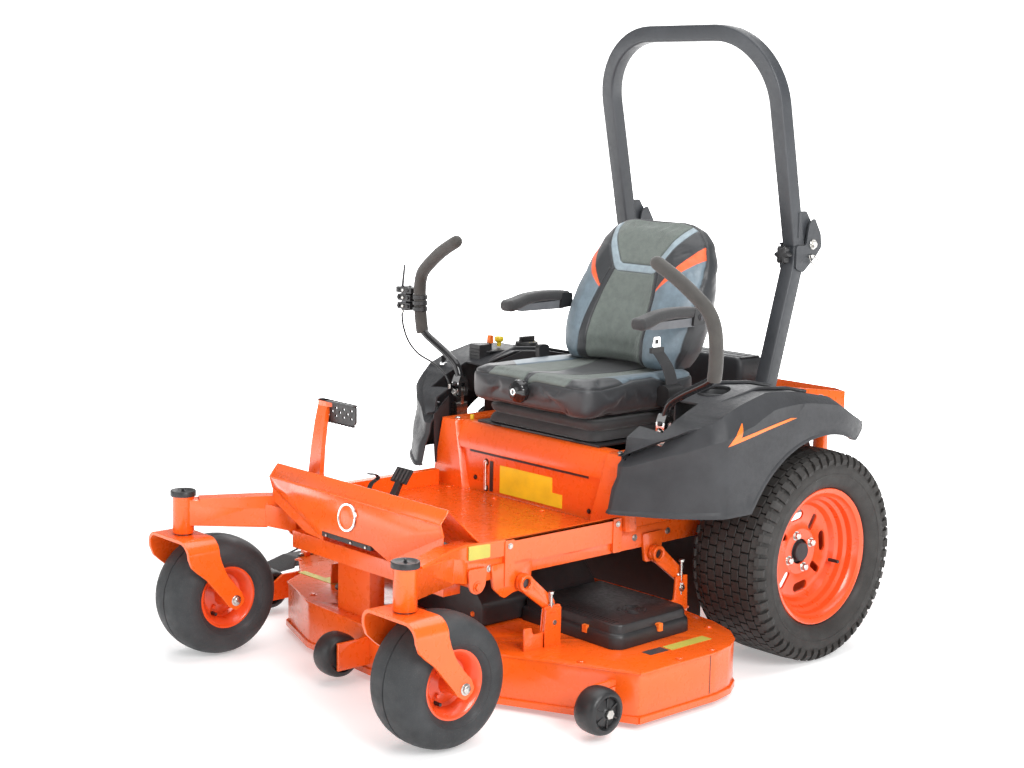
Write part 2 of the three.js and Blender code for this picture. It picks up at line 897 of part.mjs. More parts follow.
// Blade, shaft and pulley that turn together, about the spindle axis, ground at z = 0.
function blade(tilt) {
  const angle = (tilt * Math.PI) / 180;
  const flat = new THREE.BoxGeometry(2 * BLADE_R - 16, 60, 6);
  const wingShape = [
    [-30, 0],
    [-10, 0],
    [-30, 22],
  ];
  const lift = [0, Math.PI].map((half) => {
    const g = new THREE.ExtrudeGeometry(
      new THREE.Shape(wingShape.map(([u, v]) => new THREE.Vector2(u, v))),
      { depth: 70, bevelEnabled: false },
    );
    const m = new THREE.Matrix4();
    m.set(0, 0, 1, 140, 1, 0, 0, 0, 0, 1, 0, 45, 0, 0, 0, 1);
    return solid(g.applyMatrix4(m).rotateZ(half + angle));
  });
  const cutter = solid(flat.translate(0, 0, 45).rotateZ(angle));
  const shaft = turned(
    "z",
    [
      [0, 34],
      [16, 34],
      [16, 150],
      [60, 152],
      [52, 161],
      [60, 170],
      [18, 172],
      [18, 184],
      [0, 184],
    ],
    16,
  );
  return join(cutter, ...lift, shaft);
}

// Moulded cover over an outer spindle's pulley, open underneath.
function beltCover() {
  const low = DECK_TOP + GAP;
  const outline = [
    [200, -716],
    [536, -722],
    [556, -702],
    [548, -444],
    [520, -424],
    [200, -424],
  ];
  const step = (points, by) => points.map(([x, y]) => [380 + (x - 380) * by, -565 + (y + 565) * by]);
  const skirt = plate("xy", outline, low, 184, 10);
  const lid = plate("xy", step(outline, 0.95), 183, 208, 10);
  const hollow = plate("xy", step(outline, 0.92), low - 5, 200, 10);
  return cut(join(skirt, lid), hollow);
}

// Rubber discharge chute from its hinge line at the deck's right edge.
function chute() {
  const profile = [
    [0, 8],
    [-8, 0],
    [-80, -4],
    [-200, -62],
    [-218, -92],
    [-213, -94],
    [-196, -68],
    [-80, -10],
    [-8, -6],
    [0, 2],
  ];
  const skin = plate("xz", profile, 0, 300);
  const ends = [0, 294].map((y) =>
    plate(
      "xz",
      [
        [-10, -4],
        [-80, -8],
        [-196, -66],
        [-214, -96],
        [-110, -70],
        [-30, -40],
      ],
      y,
      y + 6,
    ),
  );
  const eye = round("y", 6, 0, 300, 0, 4, 12);
  return join(skin, ...ends, eye);
}

// Anti-scalp roller, turned about X.
function roller() {
  return turned(
    "x",
    [
      [8.5, -ROLLER_HALF],
      [ROLLER_R - 12, -ROLLER_HALF],
      [ROLLER_R, -16],
      [ROLLER_R, 16],
      [ROLLER_R - 12, ROLLER_HALF],
      [30, ROLLER_HALF - 12],
      [8.5, ROLLER_HALF - 12],
      [8.5, -ROLLER_HALF],
    ],
    20,
  );
}

// Lift arm from its pivot eye down to the deck hanger, pivot at y = 0, z = 0.
function liftArm() {
  const arm = plate(
    "yz",
    [
      [-24, 0],
      [-14, 22],
      [10, 24],
      [LIFT_REACH + 6, -LIFT_DROP + 22],
      [LIFT_REACH + 12, -LIFT_DROP - 6],
      [LIFT_REACH - 8, -LIFT_DROP - 12],
      [0, -26],
      [-18, -18],
    ],
    -6,
    5,
    9,
  );
  const bolt = round("x", 6, -14, 5.5, LIFT_REACH - 6, -LIFT_DROP + 4, 12);
  return cut(join(arm, bolt), round("x", 9, -10, 10, 0, 0, 16));
}

// Deck lift pedal about its pivot pin: boss, tall flat arm and the tread plate.
function liftPedal() {
  const boss = round("x", 15, -30, 30, 0, 0, 20);
  const arm = hull(
    [-28, 28].flatMap((x) => [
      [x, -6, 0],
      [x, 6, 0],
      [x, -26, 135],
      [x, -16, 135],
    ]),
  );
  const upper = hull(
    [
      [-28, -26, 130],
      [28, -26, 130],
      [-20, 4, 318],
      [22, 4, 318],
    ].flatMap(([x, y, z]) => [
      [x, y, z],
      [x, y + 10, z],
    ]),
  );
  const tread = block(-20, 138, 8, 22, 284, 338);
  const link = block(-18, 20, 2, 12, 292, 322);
  return cut(join(boss, arm, upper, tread, link), round("x", 7, -40, 40, 0, 0, 16));
}

// ---- steering levers -------------------------------------------------------------
// Pivot block that swings fore and aft, carrying the tang of the swing-out pivot.
function leverBase() {
  const rise = LEVER_OUT_Z - LEVER_LOW_Z;
  const body = block(-14, 16, -22, 22, -16, rise - 30);
  const tang = plate(
    "xz",
    [
      [-13, rise - 34],
      [13, rise - 34],
      [13, rise + 12],
      [-13, rise + 12],
    ],
    -5,
    5,
    9,
  );
  const pinHole = round("x", 7.8, -20, 20, 0, 0);
  const outHole = round("y", 6.8, -12, 12, 0, rise);
  return cut(join(body, tang), pinHole, outHole);
}

// Bent lever from its clevis up to the grip, in the frame of the swing-out pivot.
const LEVER_PATH = [
  [0, 0, 34],
  [18, -2, 80],
  [110, -4, 130],
  [176, -6, 168],
];
const GRIP_PATH = [
  [172, -6, 160],
  [180, -8, 212],
  [178, -14, 290],
  [150, -26, 350],
  [60, -32, 412],
  [-33, -35, 460],
];

function lever() {
  const cheeks = [
    block(-13, 13, -17, -6.5, -13, 36),
    block(-13, 13, 6.5, 17, -13, 36),
    block(-13, 13, -17, 17, 24, 40),
  ];
  const pin = round("y", 5.5, -16, 16, 0, 0, 12);
  return join(...cheeks, pin, rod(LEVER_PATH, 12, 10), rod(GRIP_PATH, 19, 14));
}

// The right lever also carries the clamp of the control cable.
function leverRight() {
  const clamp = block(192, 272, -34, 8, 222, 296);
  return join(lever(), clamp);
}

// Control cable clipped along the right lever, from the clamp to the clevis.
const CABLE_PATH = [
  [260, -14, 221],
  [260, -16, 200],
  [246, -20, 165],
  [212, -26, 126],
  [160, -30, 96],
  [100, -28, 78],
  [52, -26, 56],
  [30, -24, 34],
  [24, -22, 12],
];

// ---- seat ------------------------------------------------------------------------
function seatPlatform() {
  const tray = block(-250, 250, 0, 430, -3, 3);
  const hinges = [-180, 150].map((x) => round("x", 3, x, x + 30, 0, 0, 12));
  return join(tray, ...hinges);
}

function seatBoot() {
  return plate(
    "yz",
    [
      [4, 3.4],
      [420, 3.4],
      [410, 62],
      [14, 62],
    ],
    -228,
    228,
    14,
  );
}

function seatCushion() {
  const side = [
    [SEAT_FRONT - 45, SEAT_LOW + 14],
    [SEAT_FRONT - 20, SEAT_LOW],
    [SEAT_BACK, SEAT_LOW],
    [SEAT_BACK, SEAT_TOP - 8],
    [SEAT_FRONT + 100, SEAT_TOP],
    [SEAT_FRONT - 30, SEAT_TOP - 6],
    [SEAT_FRONT - 48, SEAT_TOP - 40],
  ];
  const plan = [
    [-SEAT_HALF, SEAT_FRONT + 20],
    [-140, SEAT_FRONT - 50],
    [140, SEAT_FRONT - 50],
    [SEAT_HALF, SEAT_FRONT + 20],
    [SEAT_HALF - 4, SEAT_BACK],
    [-SEAT_HALF + 4, SEAT_BACK],
  ];
  return plate("yz", side, -SEAT_HALF, SEAT_HALF, 22).intersect(
    plate("xy", plan, SEAT_LOW - 10, SEAT_TOP + 10, 40),
  );
}

// Backrest about its recline axis: a padded shell leaning back.
function backrest() {
  const side = [
    [-105, 32],
    [105, 20],
    [155, 190],
    [172, 310],
    [158, 390],
    [110, 430],
    [85, 408],
    [20, 310],
    [-75, 140],
  ];
  const face = [
    [-200, 18],
    [200, 18],
    [238, 130],
    [222, 310],
    [180, 400],
    [100, 432],
    [-100, 432],
    [-180, 400],
    [-222, 310],
    [-238, 130],
  ];
  return plate("yz", side, -240, 240, 24).intersect(plate("xz", face, -200, 240, 30));
}

function armrest() {
  const pad = plate(
    "yz",
    [
      [-262, -14],
      [-250, 18],
      [-150, 32],
      [6, 28],
      [14, -8],
      [-60, -14],
      [-225, -28],
    ],
    0,
    52,
    12,
  );
  return pad;
}

function seatKnob() {
  return turned("x", [
    [0, -34],
    [24, -34],
    [30, -28],
    [33, -14],
    [28, 0],
    [0, 0],
    [0, -34],
  ], 20);
}

// ---- small controls --------------------------------------------------------------
function throttleLever() {
  const boss = round("x", 7, -5, 5, 0, 0, 16);
  const stalk = block(-3, 3, -4, 4, 0, 22);
  const tip = plate(
    "yz",
    [
      [-9, 18],
      [9, 18],
      [7, 42],
      [-7, 42],
    ],
    -7,
    7,
    4,
  );
  return join(boss, stalk, tip);
}

function ptoKnob() {
  return turned("z", [
    [0, 0],
    [6, 0],
    [6, 14],
    [13, 16],
    [15, 22],
    [14, 30],
    [0, 33],
  ], 20);
}

function ignitionKey() {
  const barrel = round("z", 11, 0, 8, 0, 0, 20);
  const bow = block(-2, 2, -11, 11, 6, 30);
  return join(barrel, bow);
}

function heightDial() {
  const skirt = round("z", 36, 0, 12, 0, 0, 28);
  const grip = block(-7, 7, -30, 30, 10, 28);
  return join(skirt, grip);
}

// Small foot pedal on the floor: hinge barrel, curved strap and the pad.
function brakePedal() {
  const barrel = round("x", 8, -14, 14, 0, 0, 16);
  const strap = plate(
    "yz",
    [
      [-6, 0],
      [4, -4],
      [46, 50],
      [76, 84],
      [70, 90],
      [36, 56],
    ],
    -12,
    12,
  );
  const pad = hull(
    [-34, 34].flatMap((x) => [
      [x, 62, 100],
      [x, 70, 106],
      [x, 82, 66],
      [x, 90, 72],
    ]),
  );
  return join(barrel, strap, pad);
}

function ropsKnob() {
  const stem = round("y", 7, -10, 0, 0, 0, 12);
  const lobes = [0, 1, 2].map((i) => {
    const g = new THREE.BoxGeometry(54, 22, 18);
    g.rotateY((i * Math.PI) / 3);
    return solid(g.translate(0, -21, 0));
  });
  return join(stem, ...lobes);
}

// ---- assembly --------------------------------------------------------------------
function chassis() {
  put(machine, "front_crossmember", frontCrossmember(), orangePaint);
  put(machine, "foot_platform", footPlatform(), orangePaint);
  put(machine, "seat_box", seatBox(), orangePaint);
  put(machine, "fuel_tank", fuelTank(), blackPlastic);
  put(machine, "engine_deck", engineDeck(), orangePaint);
  put(machine, "engine", engine(), aluminium);
}

// Pieces that come in pairs: the right side is the left side mirrored.
function sidePieces(side, half) {
  put(side, "frame_rail_" + half, frameRail(), orangePaint);
  put(side, "transaxle_" + half, transaxle(), aluminium);
  put(side, "rops_base_" + half, ropsBase(), blackPaint);
  const fender = half === "right" ? fenderRight() : fenderLeft();
  put(side, "fender_" + half, fender, darkPlastic);

  const swivel = group(side, CASTER_X, CASTER_Y, 0);
  put(swivel, "caster_fork_" + half, casterFork(), orangePaint);
  const casterAxle = group(swivel, 0, CASTER_TRAIL, CASTER_R);
  const casterRim = rim(
    CASTER_BEAD + 1,
    CASTER_LIP_R,
    CASTER_BARREL_R,
    0,
    22,
    11,
    FORK_HALF - LEG_T - 2,
    FORK_HALF - LEG_T - 2,
  );
  put(casterAxle, "caster_rim_" + half, casterRim, rimPaint);
  put(casterAxle, "caster_tyre_" + half, casterTyre(), tyreRubber);

  const wheel = group(side, WHEEL_X, 0, WHEEL_R);
  const driveRim = rim(WHEEL_BEAD + 1, WHEEL_LIP_R, WHEEL_BARREL_R, 16, 46, 18.5, 100, 34);
  put(wheel, "drive_rim_" + half, driveRim, rimPaint);
  put(wheel, "drive_tyre_" + half, driveTyre(), tyreRubber);

  const liftPivots = [
    ["front", LIFT_FRONT_Y],
    ["rear", LIFT_REAR_Y],
  ];
  for (const [end, y] of liftPivots) {
    const pivot = group(side, LIFT_X, y, LIFT_Z);
    put(pivot, "lift_arm_" + end + "_" + half, liftArm(), orangePaint);
  }

  const base = group(side, LEVER_X, LEVER_Y, LEVER_LOW_Z);
  put(base, "lever_base_" + half, leverBase(), steel);
  const swing = group(base, 0, 0, LEVER_OUT_Z - LEVER_LOW_Z);
  put(swing, "lever_" + half, half === "right" ? leverRight() : lever(), softRubber);
  if (half === "right") put(swing, "control_cable", rod(CABLE_PATH, 3, 26), blackPlastic);

  const knob = group(side, ROPS_X, ROPS_FRONT_Y - GAP, 1102);
  put(knob, "rops_knob_" + half, ropsKnob(), blackPlastic);
}

function deck() {
  put(machine, "deck_shell", deckShell(), orangePaint);
  for (const [half, x, y] of SPINDLES) {
    const spindle = group(machine, x, y, 0);
    put(spindle, "blade_" + half, blade(half === "centre" ? 90 : 20), steel);
  }
  for (const [half, sign] of [
    ["left", 1],
    ["right", -1],
  ]) {
    const side = group(machine, 0, 0, 0);
    side.scale.x = sign;
    put(side, "belt_cover_" + half, beltCover(), blackPlastic);
    put(group(side, 699, -925, 75), "roller_" + half, roller(), blackPlastic);
  }
  const mid = group(machine, -52, -1150, 75);
  mid.scale.x = -1;
  put(mid, "roller_centre", roller(), blackPlastic);
  const hinge = group(machine, -DECK_HALF - 7, -795, DECK_TOP - 4);
  put(hinge, "discharge_chute", chute(), blackPlastic);
  put(group(machine, -283, -1028, 374), "lift_pedal", liftPedal(), orangePaint);
}

function seat() {
  const tilt = group(machine, 0, -495, 602);
  put(tilt, "seat_platform", seatPlatform(), blackPaint);
  put(tilt, "seat_boot", seatBoot(), softRubber);
  put(machine, "seat_rail", block(-200, 200, -470, -100, 666, 677), steel);
  put(machine, "seat_cushion", seatCushion(), vinyl);
  const knob = group(machine, 0, SEAT_FRONT - 50.5, 728);
  const turn = group(knob, 0, 0, 0);
  turn.rotation.z = Math.PI / 2;
  put(turn, "seat_knob", seatKnob(), blackPlastic);
  const recline = group(machine, 0, -130, 760);
  put(recline, "backrest", backrest(), vinyl);
  for (const [half, sign] of [
    ["left", 1],
    ["right", -1],
  ]) {
    const pivot = group(recline, sign * 241, -8, 175);
    pivot.scale.x = sign;
    put(pivot, "armrest_" + half, armrest(), softRubber);
  }
}

function controls() {
  const y = { throttle: -262, pto: -221, key: -385, dial: -95 };
  put(group(machine, -464, y.throttle, 772), "throttle_lever", throttleLever(), orangePlastic);
  put(group(machine, -470, y.pto, 774), "pto_knob", ptoKnob(), yellowPlastic);
  put(group(machine, -540, y.key, 722), "ignition_key", ignitionKey(), steel);
  put(group(machine, -480, y.dial, 768), "height_dial", heightDial(), blackPlastic);
  put(group(machine, -150, -930, 415), "brake_pedal", brakePedal(), blackPlastic);
}

chassis();
const leftSide = group(machine, 0, 0, 0);
sidePieces(leftSide, "left");
const rightSide = group(machine, 0, 0, 0);
rightSide.scale.x = -1;
sidePieces(rightSide, "right");
deck();
seat();
controls();
put(group(machine, 0, ROPS_FOLD_Y, ROPS_FOLD_Z), "rops_hoop", ropsHoop(), blackPaint);

const root = new THREE.Group();
root.add(machine);
export default root;
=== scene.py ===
"""Looks of a zero turn mower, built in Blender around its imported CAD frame."""
import json
import math

import bmesh
import bpy
from mathutils import Matrix, Vector

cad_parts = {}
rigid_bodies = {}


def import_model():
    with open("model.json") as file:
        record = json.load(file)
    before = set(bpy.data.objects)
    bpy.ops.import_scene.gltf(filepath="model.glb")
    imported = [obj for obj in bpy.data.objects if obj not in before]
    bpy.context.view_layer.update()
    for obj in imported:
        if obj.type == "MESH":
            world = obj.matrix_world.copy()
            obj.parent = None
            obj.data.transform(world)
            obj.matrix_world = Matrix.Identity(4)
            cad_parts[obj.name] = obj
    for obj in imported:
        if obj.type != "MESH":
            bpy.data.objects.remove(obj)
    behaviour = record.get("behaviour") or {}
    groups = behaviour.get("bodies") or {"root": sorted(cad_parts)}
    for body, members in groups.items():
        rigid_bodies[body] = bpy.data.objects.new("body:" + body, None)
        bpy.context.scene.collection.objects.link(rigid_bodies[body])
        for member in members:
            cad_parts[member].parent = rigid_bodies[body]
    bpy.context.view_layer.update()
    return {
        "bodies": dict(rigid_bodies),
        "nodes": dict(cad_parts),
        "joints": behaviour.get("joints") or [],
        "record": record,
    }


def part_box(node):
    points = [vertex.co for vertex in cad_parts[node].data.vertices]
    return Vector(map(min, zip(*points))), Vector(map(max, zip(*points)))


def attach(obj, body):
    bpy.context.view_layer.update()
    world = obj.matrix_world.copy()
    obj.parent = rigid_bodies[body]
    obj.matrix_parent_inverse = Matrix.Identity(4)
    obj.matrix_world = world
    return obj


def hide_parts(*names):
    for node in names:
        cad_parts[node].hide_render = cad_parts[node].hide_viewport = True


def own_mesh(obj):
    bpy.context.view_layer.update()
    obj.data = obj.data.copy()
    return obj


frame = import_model()
nodes = frame["nodes"]

# ---- the machine's own frame -----------------------------------------------------
# Millimetres, x to the operator's left, y rearwards from the rear axle, z up from the ground.
MM = 0.001
LEFT_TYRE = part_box("drive_tyre_left")
RIGHT_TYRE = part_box("drive_tyre_right")
ORIGIN = Vector((
    (LEFT_TYRE[1].x + RIGHT_TYRE[0].x) / 2,
    (LEFT_TYRE[0].y + LEFT_TYRE[1].y) / 2,
    0.0,
))
SIDES = (("left", 1), ("right", -1))
SIGNS = (1, -1)
WHEEL_X = 532
WHEEL_R = 295.5
CASTER_X = 479
CASTER_Y = -1348
CASTER_AXLE_Y = -1248
CASTER_R = 165


def world(x, y, z):
    """A point of the machine's frame, in metres of the row frame."""
    return ORIGIN + Vector((x, y, z)) * MM


def reading(table, at):
    """Value of a table of (place, value) with growing places, clamped at its ends."""
    for (a, low), (b, high) in zip(table, table[1:]):
        if at <= b:
            return low + (high - low) * max(0.0, (at - a) / (b - a))
    return table[-1][1]


# ---- mesh parts: (vertices in mm, faces) -----------------------------------------
def box(x0, x1, y0, y1, z0, z1):
    verts = [(x, y, z) for z in (z0, z1) for y in (y0, y1) for x in (x0, x1)]
    faces = [(0, 2, 3, 1), (4, 5, 7, 6), (0, 1, 5, 4), (2, 6, 7, 3), (0, 4, 6, 2), (1, 3, 7, 5)]
    return verts, faces


def loft(rings, caps=True, ring_closed=True):
    """Quads between rings of equal length, with an n-gon on each end."""
    n = len(rings[0])
    verts = [p for ring in rings for p in ring]
    faces = []
    for i in range(len(rings) - 1):
        for j in range(n if ring_closed else n - 1):
            k = (j + 1) % n
            faces.append((i * n + j, i * n + k, (i + 1) * n + k, (i + 1) * n + j))
    if caps:
        faces.append(tuple(reversed(range(n))))
        faces.append(tuple((len(rings) - 1) * n + j for j in range(n)))
    return verts, faces


def axis_point(axis, centre, along, u, v):
    cx, cy, cz = centre
    if axis == "x":
        return (cx + along, cy + u, cz + v)
    if axis == "y":
        return (cx + v, cy + along, cz + u)
    return (cx + u, cy + v, cz + along)


def lathe(axis, centre, profile, sides=64):
    """Profile points (radius, place along the axis), turned about the axis."""
    closed = profile[0] == profile[-1]
    points = profile[:-1] if closed else profile
    rings = []
    for r, a in points:
        ring = []
        for i in range(sides):
            t = 2 * math.pi * i / sides
            ring.append(axis_point(axis, centre, a, max(r, 0.02) * math.cos(t),
                                   max(r, 0.02) * math.sin(t)))
        rings.append(ring)
    if closed:
        rings.append(rings[0])
        verts, faces = loft(rings, caps=False)
        last = (len(rings) - 1) * sides
        return verts[:last], [tuple(i - last if i >= last else i for i in f) for f in faces]
    return loft(rings)


def rod(axis, centre, r, a, b, sides=32, edge=1.0):
    """A round bar with its end edges broken by a small chamfer."""
    profile = [(0, a), (r - edge, a), (r, a + edge), (r, b - edge), (r - edge, b), (0, b)]
    return lathe(axis, centre, profile, sides)


def smooth_path(points, steps=8):
    """Catmull-Rom curve through the points."""
    pts = [Vector(p) for p in points]
    pts = [2 * pts[0] - pts[1]] + pts + [2 * pts[-1] - pts[-2]]
    out = []
    for i in range(1, len(pts) - 2):
        a, b, c, d = pts[i - 1:i + 3]
        for k in range(steps):
            t = k / steps
            out.append(0.5 * (2 * b + (c - a) * t + (2 * a - 5 * b + 4 * c - d) * t * t
                              + (3 * b - a - 3 * c + d) * t ** 3))
    out.append(pts[-2])
    return out


def bent_path(points, radius, steps=6):
    """Straight runs joined by arcs of one bend radius."""
    pts = [Vector(p) for p in points]
    out = [pts[0]]
    for a, b, c in zip(pts, pts[1:], pts[2:]):
        u, v = (a - b).normalized(), (c - b).normalized()
        half = u.angle(v) / 2
        reach = min(radius / math.tan(half), (a - b).length * 0.49, (c - b).length * 0.49)
        r = reach * math.tan(half)
        middle = b + (u + v).normalized() * (r / math.sin(half))
        start, end = b + u * reach - middle, b + v * reach - middle
        for k in range(steps + 1):
            out.append(middle + start.slerp(end, k / steps) * r)
    out.append(pts[-1])
    return out


def ring_section(r, sides=16):
    return [(r * math.cos(2 * math.pi * i / sides), r * math.sin(2 * math.pi * i / sides))
            for i in range(sides)]


def square_section(half_u, half_v, corner, steps=4):
    """A rounded rectangle."""
    out = []
    for k, (su, sv) in enumerate(((1, 1), (-1, 1), (-1, -1), (1, -1))):
        for i in range(steps + 1):
            t = math.pi / 2 * (k + i / steps)
            out.append((su * (half_u - corner) + corner * math.cos(t),
                        sv * (half_v - corner) + corner * math.sin(t)))
    return out


def sweep(path, section, side=(1, 0, 0), scale=None):
    """The section carried along the path; its first axis stays near the side direction."""
    rings = []
    for i, p in enumerate(path):
        ahead = path[min(i + 1, len(path) - 1)] - path[max(i - 1, 0)]
        t = ahead.normalized()
        u = (Vector(side) - t * t.dot(Vector(side))).normalized()
        v = t.cross(u)
        k = scale(i / (len(path) - 1)) if scale else 1.0
        rings.append([tuple(p + u * (a * k) + v * (b * k)) for a, b in section])
    return loft(rings)


def tube(points, r, sides=14, steps=8, side=(1, 0, 0)):
    return sweep(smooth_path(points, steps), ring_section(r, sides), side)


def rounded(outline, corner, steps=4):
    """The outline with its corners turned into arcs."""
    pts = [Vector((a, b)) for a, b in outline]
    out = []
    n = len(pts)
    for i in range(n):
        a, b, c = pts[i - 1], pts[i], pts[(i + 1) % n]
        u, v = (a - b), (c - b)
        reach = min(corner, u.length * 0.48, v.length * 0.48)
        start, end = b + u.normalized() * reach, b + v.normalized() * reach
        for k in range(steps + 1):
            t = k / steps
            out.append(tuple((1 - t) ** 2 * start + 2 * t * (1 - t) * b + t * t * end))
    return out


def slab(plane, outline, a, b, corner=0.0):
    """An outline in a plane, made solid from a to b along the third axis."""
    pts = rounded(outline, corner) if corner else outline
    area = sum(p[0] * q[1] - q[0] * p[1] for p, q in zip(pts, pts[1:] + pts[:1]))
    if (area < 0) != (plane == "xz"):
        pts = list(reversed(pts))
    place = {
        "xy": lambda u, v, w: (u, v, w),
        "yz": lambda u, v, w: (w, u, v),
        "xz": lambda u, v, w: (u, w, v),
    }[plane]
    return loft([[place(u, v, w) for u, v in pts] for w in (min(a, b), max(a, b))])


def stacked(plan, levels, cx, cy):
    """One outline at several heights, each scaled about a centre."""
    return loft([[(cx + (x - cx) * k, cy + (y - cy) * k, z) for x, y in plan] for z, k in levels])


def mirrored(part):
    verts, faces = part
    return [(-x, y, z) for x, y, z in verts], [tuple(reversed(f)) for f in faces]


def moved(part, x=0, y=0, z=0):
    return [(a + x, b + y, c + z) for a, b, c in part[0]], part[1]


def turned(part, angle, axis):
    m = Matrix.Rotation(angle, 4, axis.upper())
    return [tuple(m @ Vector(p)) for p in part[0]], part[1]


def on_side(part, sign):
    return part if sign > 0 else mirrored(part)


def bolt(centre, axis="x", r=9, height=7, washer=True):
    """Hex head on a washer, with a rounded top."""
    parts = []
    if washer:
        parts.append(rod(axis, centre, r * 1.35, 0, 2, 24, 0.4))
    s = 1 if height > 0 else -1
    profile = [(0, 0), (r, 0), (r, height - 1.5 * s), (r * 0.86, height), (0, height)]
    head = lathe(axis, centre, profile if s > 0 else list(reversed(profile)), 6)
    return parts + [head]


def coated(parts, material, sign=1):
    """(part, material) pairs for parts of one material, put on one side."""
    return [(on_side(p, sign), material) for p in parts]


# ---- pieces ------------------------------------------------------------------------
def merge(bm, part, index, smooth):
    base = [bm.verts.new(world(*p)) for p in part[0]]
    for f in part[1]:
        try:
            face = bm.faces.new([base[i] for i in f])
        except ValueError:
            continue
        face.material_index = index
        face.smooth = smooth


def piece(name, body, parts, replaces=(), bevel=0.0, angle=40, weld=True):
    """One object from (part, material) pairs, riding on a body."""
    bm = bmesh.new()
    materials = []
    for part, material in parts:
        if material not in materials:
            materials.append(material)
        merge(bm, part, materials.index(material), True)
    if weld:
        bmesh.ops.remove_doubles(bm, verts=bm.verts, dist=2e-5)
    bmesh.ops.recalc_face_normals(bm, faces=bm.faces)
    mesh = bpy.data.meshes.new(name)
    bm.to_mesh(mesh)
    bm.free()
    for material in materials:
        mesh.materials.append(material)
    obj = bpy.data.objects.new(name, mesh)
    bpy.context.scene.collection.objects.link(obj)
    dress(obj, bevel, angle)
    own(obj, body, replaces)
    return obj


def dress(obj, bevel, angle=32):
    """Rounded edges and smooth shading up to an angle."""
    if bevel:
        mod = obj.modifiers.new("edges", "BEVEL")
        mod.width = bevel * MM
        mod.segments = 2
        mod.limit_method = "ANGLE"
        mod.angle_limit = math.radians(angle)
        mod.harden_normals = True
    else:
        mark_sharp(obj.data, math.radians(angle))


def mark_sharp(mesh, limit):
    bm = bmesh.new()
    bm.from_mesh(mesh)
    for e in bm.edges:
        if len(e.link_faces) == 2 and e.calc_face_angle(0.0) > limit:
            e.smooth = False
    bm.to_mesh(mesh)
    bm.free()


def own(obj, body, replaces=()):
    if body:
        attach(obj, body)
    if replaces:
        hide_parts(*replaces)


def paint_node(name, material, bevel=1.5):
    """A CAD node that keeps its shape gets its finish and soft edges."""
    obj = nodes[name]
    obj.data.materials.clear()
    obj.data.materials.append(material)
    for f in obj.data.polygons:
        f.use_smooth = True
    weld = obj.modifiers.new("weld", "WELD")
    weld.merge_threshold = 0.01 * MM
    dress(obj, bevel)
    return obj


# ---- materials ---------------------------------------------------------------------
class Nodes:
    """Short hand for building one material's node tree."""

    def __init__(self, name, color, roughness, metallic=0.0):
        self.material = bpy.data.materials.new(name)
        self.material.use_nodes = True
        self.tree = self.material.node_tree
        self.shader = self.tree.nodes["Principled BSDF"]
        self.shader.inputs["Base Color"].default_value = (*color, 1)
        self.shader.inputs["Roughness"].default_value = roughness
        self.shader.inputs["Metallic"].default_value = metallic
        self.coords = self.tree.nodes.new("ShaderNodeTexCoord").outputs["Object"]

    def link(self, a, b):
        self.tree.links.new(a, b)

    def noise(self, scale, detail=3.0, roughness=0.55, stretch=None):
        node = self.tree.nodes.new("ShaderNodeTexNoise")
        node.inputs["Scale"].default_value = scale
        node.inputs["Detail"].default_value = detail
        node.inputs["Roughness"].default_value = roughness
        source = self.coords
        if stretch:
            mapping = self.tree.nodes.new("ShaderNodeMapping")
            mapping.inputs["Scale"].default_value = stretch
            self.link(self.coords, mapping.inputs["Vector"])
            source = mapping.outputs["Vector"]
        self.link(source, node.inputs["Vector"])
        return node.outputs["Fac"]

    def cells(self, scale, feature="F1"):
        node = self.tree.nodes.new("ShaderNodeTexVoronoi")
        node.feature = feature
        node.inputs["Scale"].default_value = scale
        self.link(self.coords, node.inputs["Vector"])
        return node.outputs["Distance"]

    def wave(self, scale, direction):
        node = self.tree.nodes.new("ShaderNodeTexWave")
        node.bands_direction = direction
        node.inputs["Scale"].default_value = scale
        node.inputs["Distortion"].default_value = 0.6
        self.link(self.coords, node.inputs["Vector"])
        return node.outputs["Fac"]

    def ramp(self, value, low, high, out_low=0.0, out_high=1.0):
        node = self.tree.nodes.new("ShaderNodeMapRange")
        node.inputs["From Min"].default_value = low
        node.inputs["From Max"].default_value = high
        node.inputs["To Min"].default_value = out_low
        node.inputs["To Max"].default_value = out_high
        self.link(value, node.inputs["Value"])
        return node.outputs["Result"]

    def mix(self, factor, a, b):
        node = self.tree.nodes.new("ShaderNodeMix")
        node.data_type = "RGBA"
        self.link(factor, node.inputs["Factor"])
        for socket, value in ((node.inputs["A"], a), (node.inputs["B"], b)):
            if isinstance(value, tuple):
                socket.default_value = (*value, 1)
            else:
                self.link(value, socket)
        return node.outputs["Result"]

    def math(self, operation, a, b):
        node = self.tree.nodes.new("ShaderNodeMath")
        node.operation = operation
        for socket, value in zip(node.inputs, (a, b)):
            if isinstance(value, (int, float)):
                socket.default_value = value
            else:
                self.link(value, socket)
        return node.outputs["Value"]

    def bump(self, height, strength, distance):
        node = self.tree.nodes.new("ShaderNodeBump")
        node.inputs["Strength"].default_value = strength
        node.inputs["Distance"].default_value = distance
        self.link(height, node.inputs["Height"])
        self.link(node.outputs["Normal"], self.shader.inputs["Normal"])

    def drive(self, name, value):
        """Gives an input of the shader a number or another node's output."""
        if isinstance(value, (int, float)):
            self.shader.inputs[name].default_value = value
        else:
            self.link(value, self.shader.inputs[name])

    def mottle(self, color, scale, detail, dark, light):
        """Base colour that drifts between a darker and a lighter shade."""
        cloud = self.ramp(self.noise(scale, detail), 0.3, 0.7)
        self.drive("Base Color", self.mix(cloud, shade(color, dark), shade(color, light)))


def shade(color, k):
    return tuple(min(1.0, c * k) for c in color)


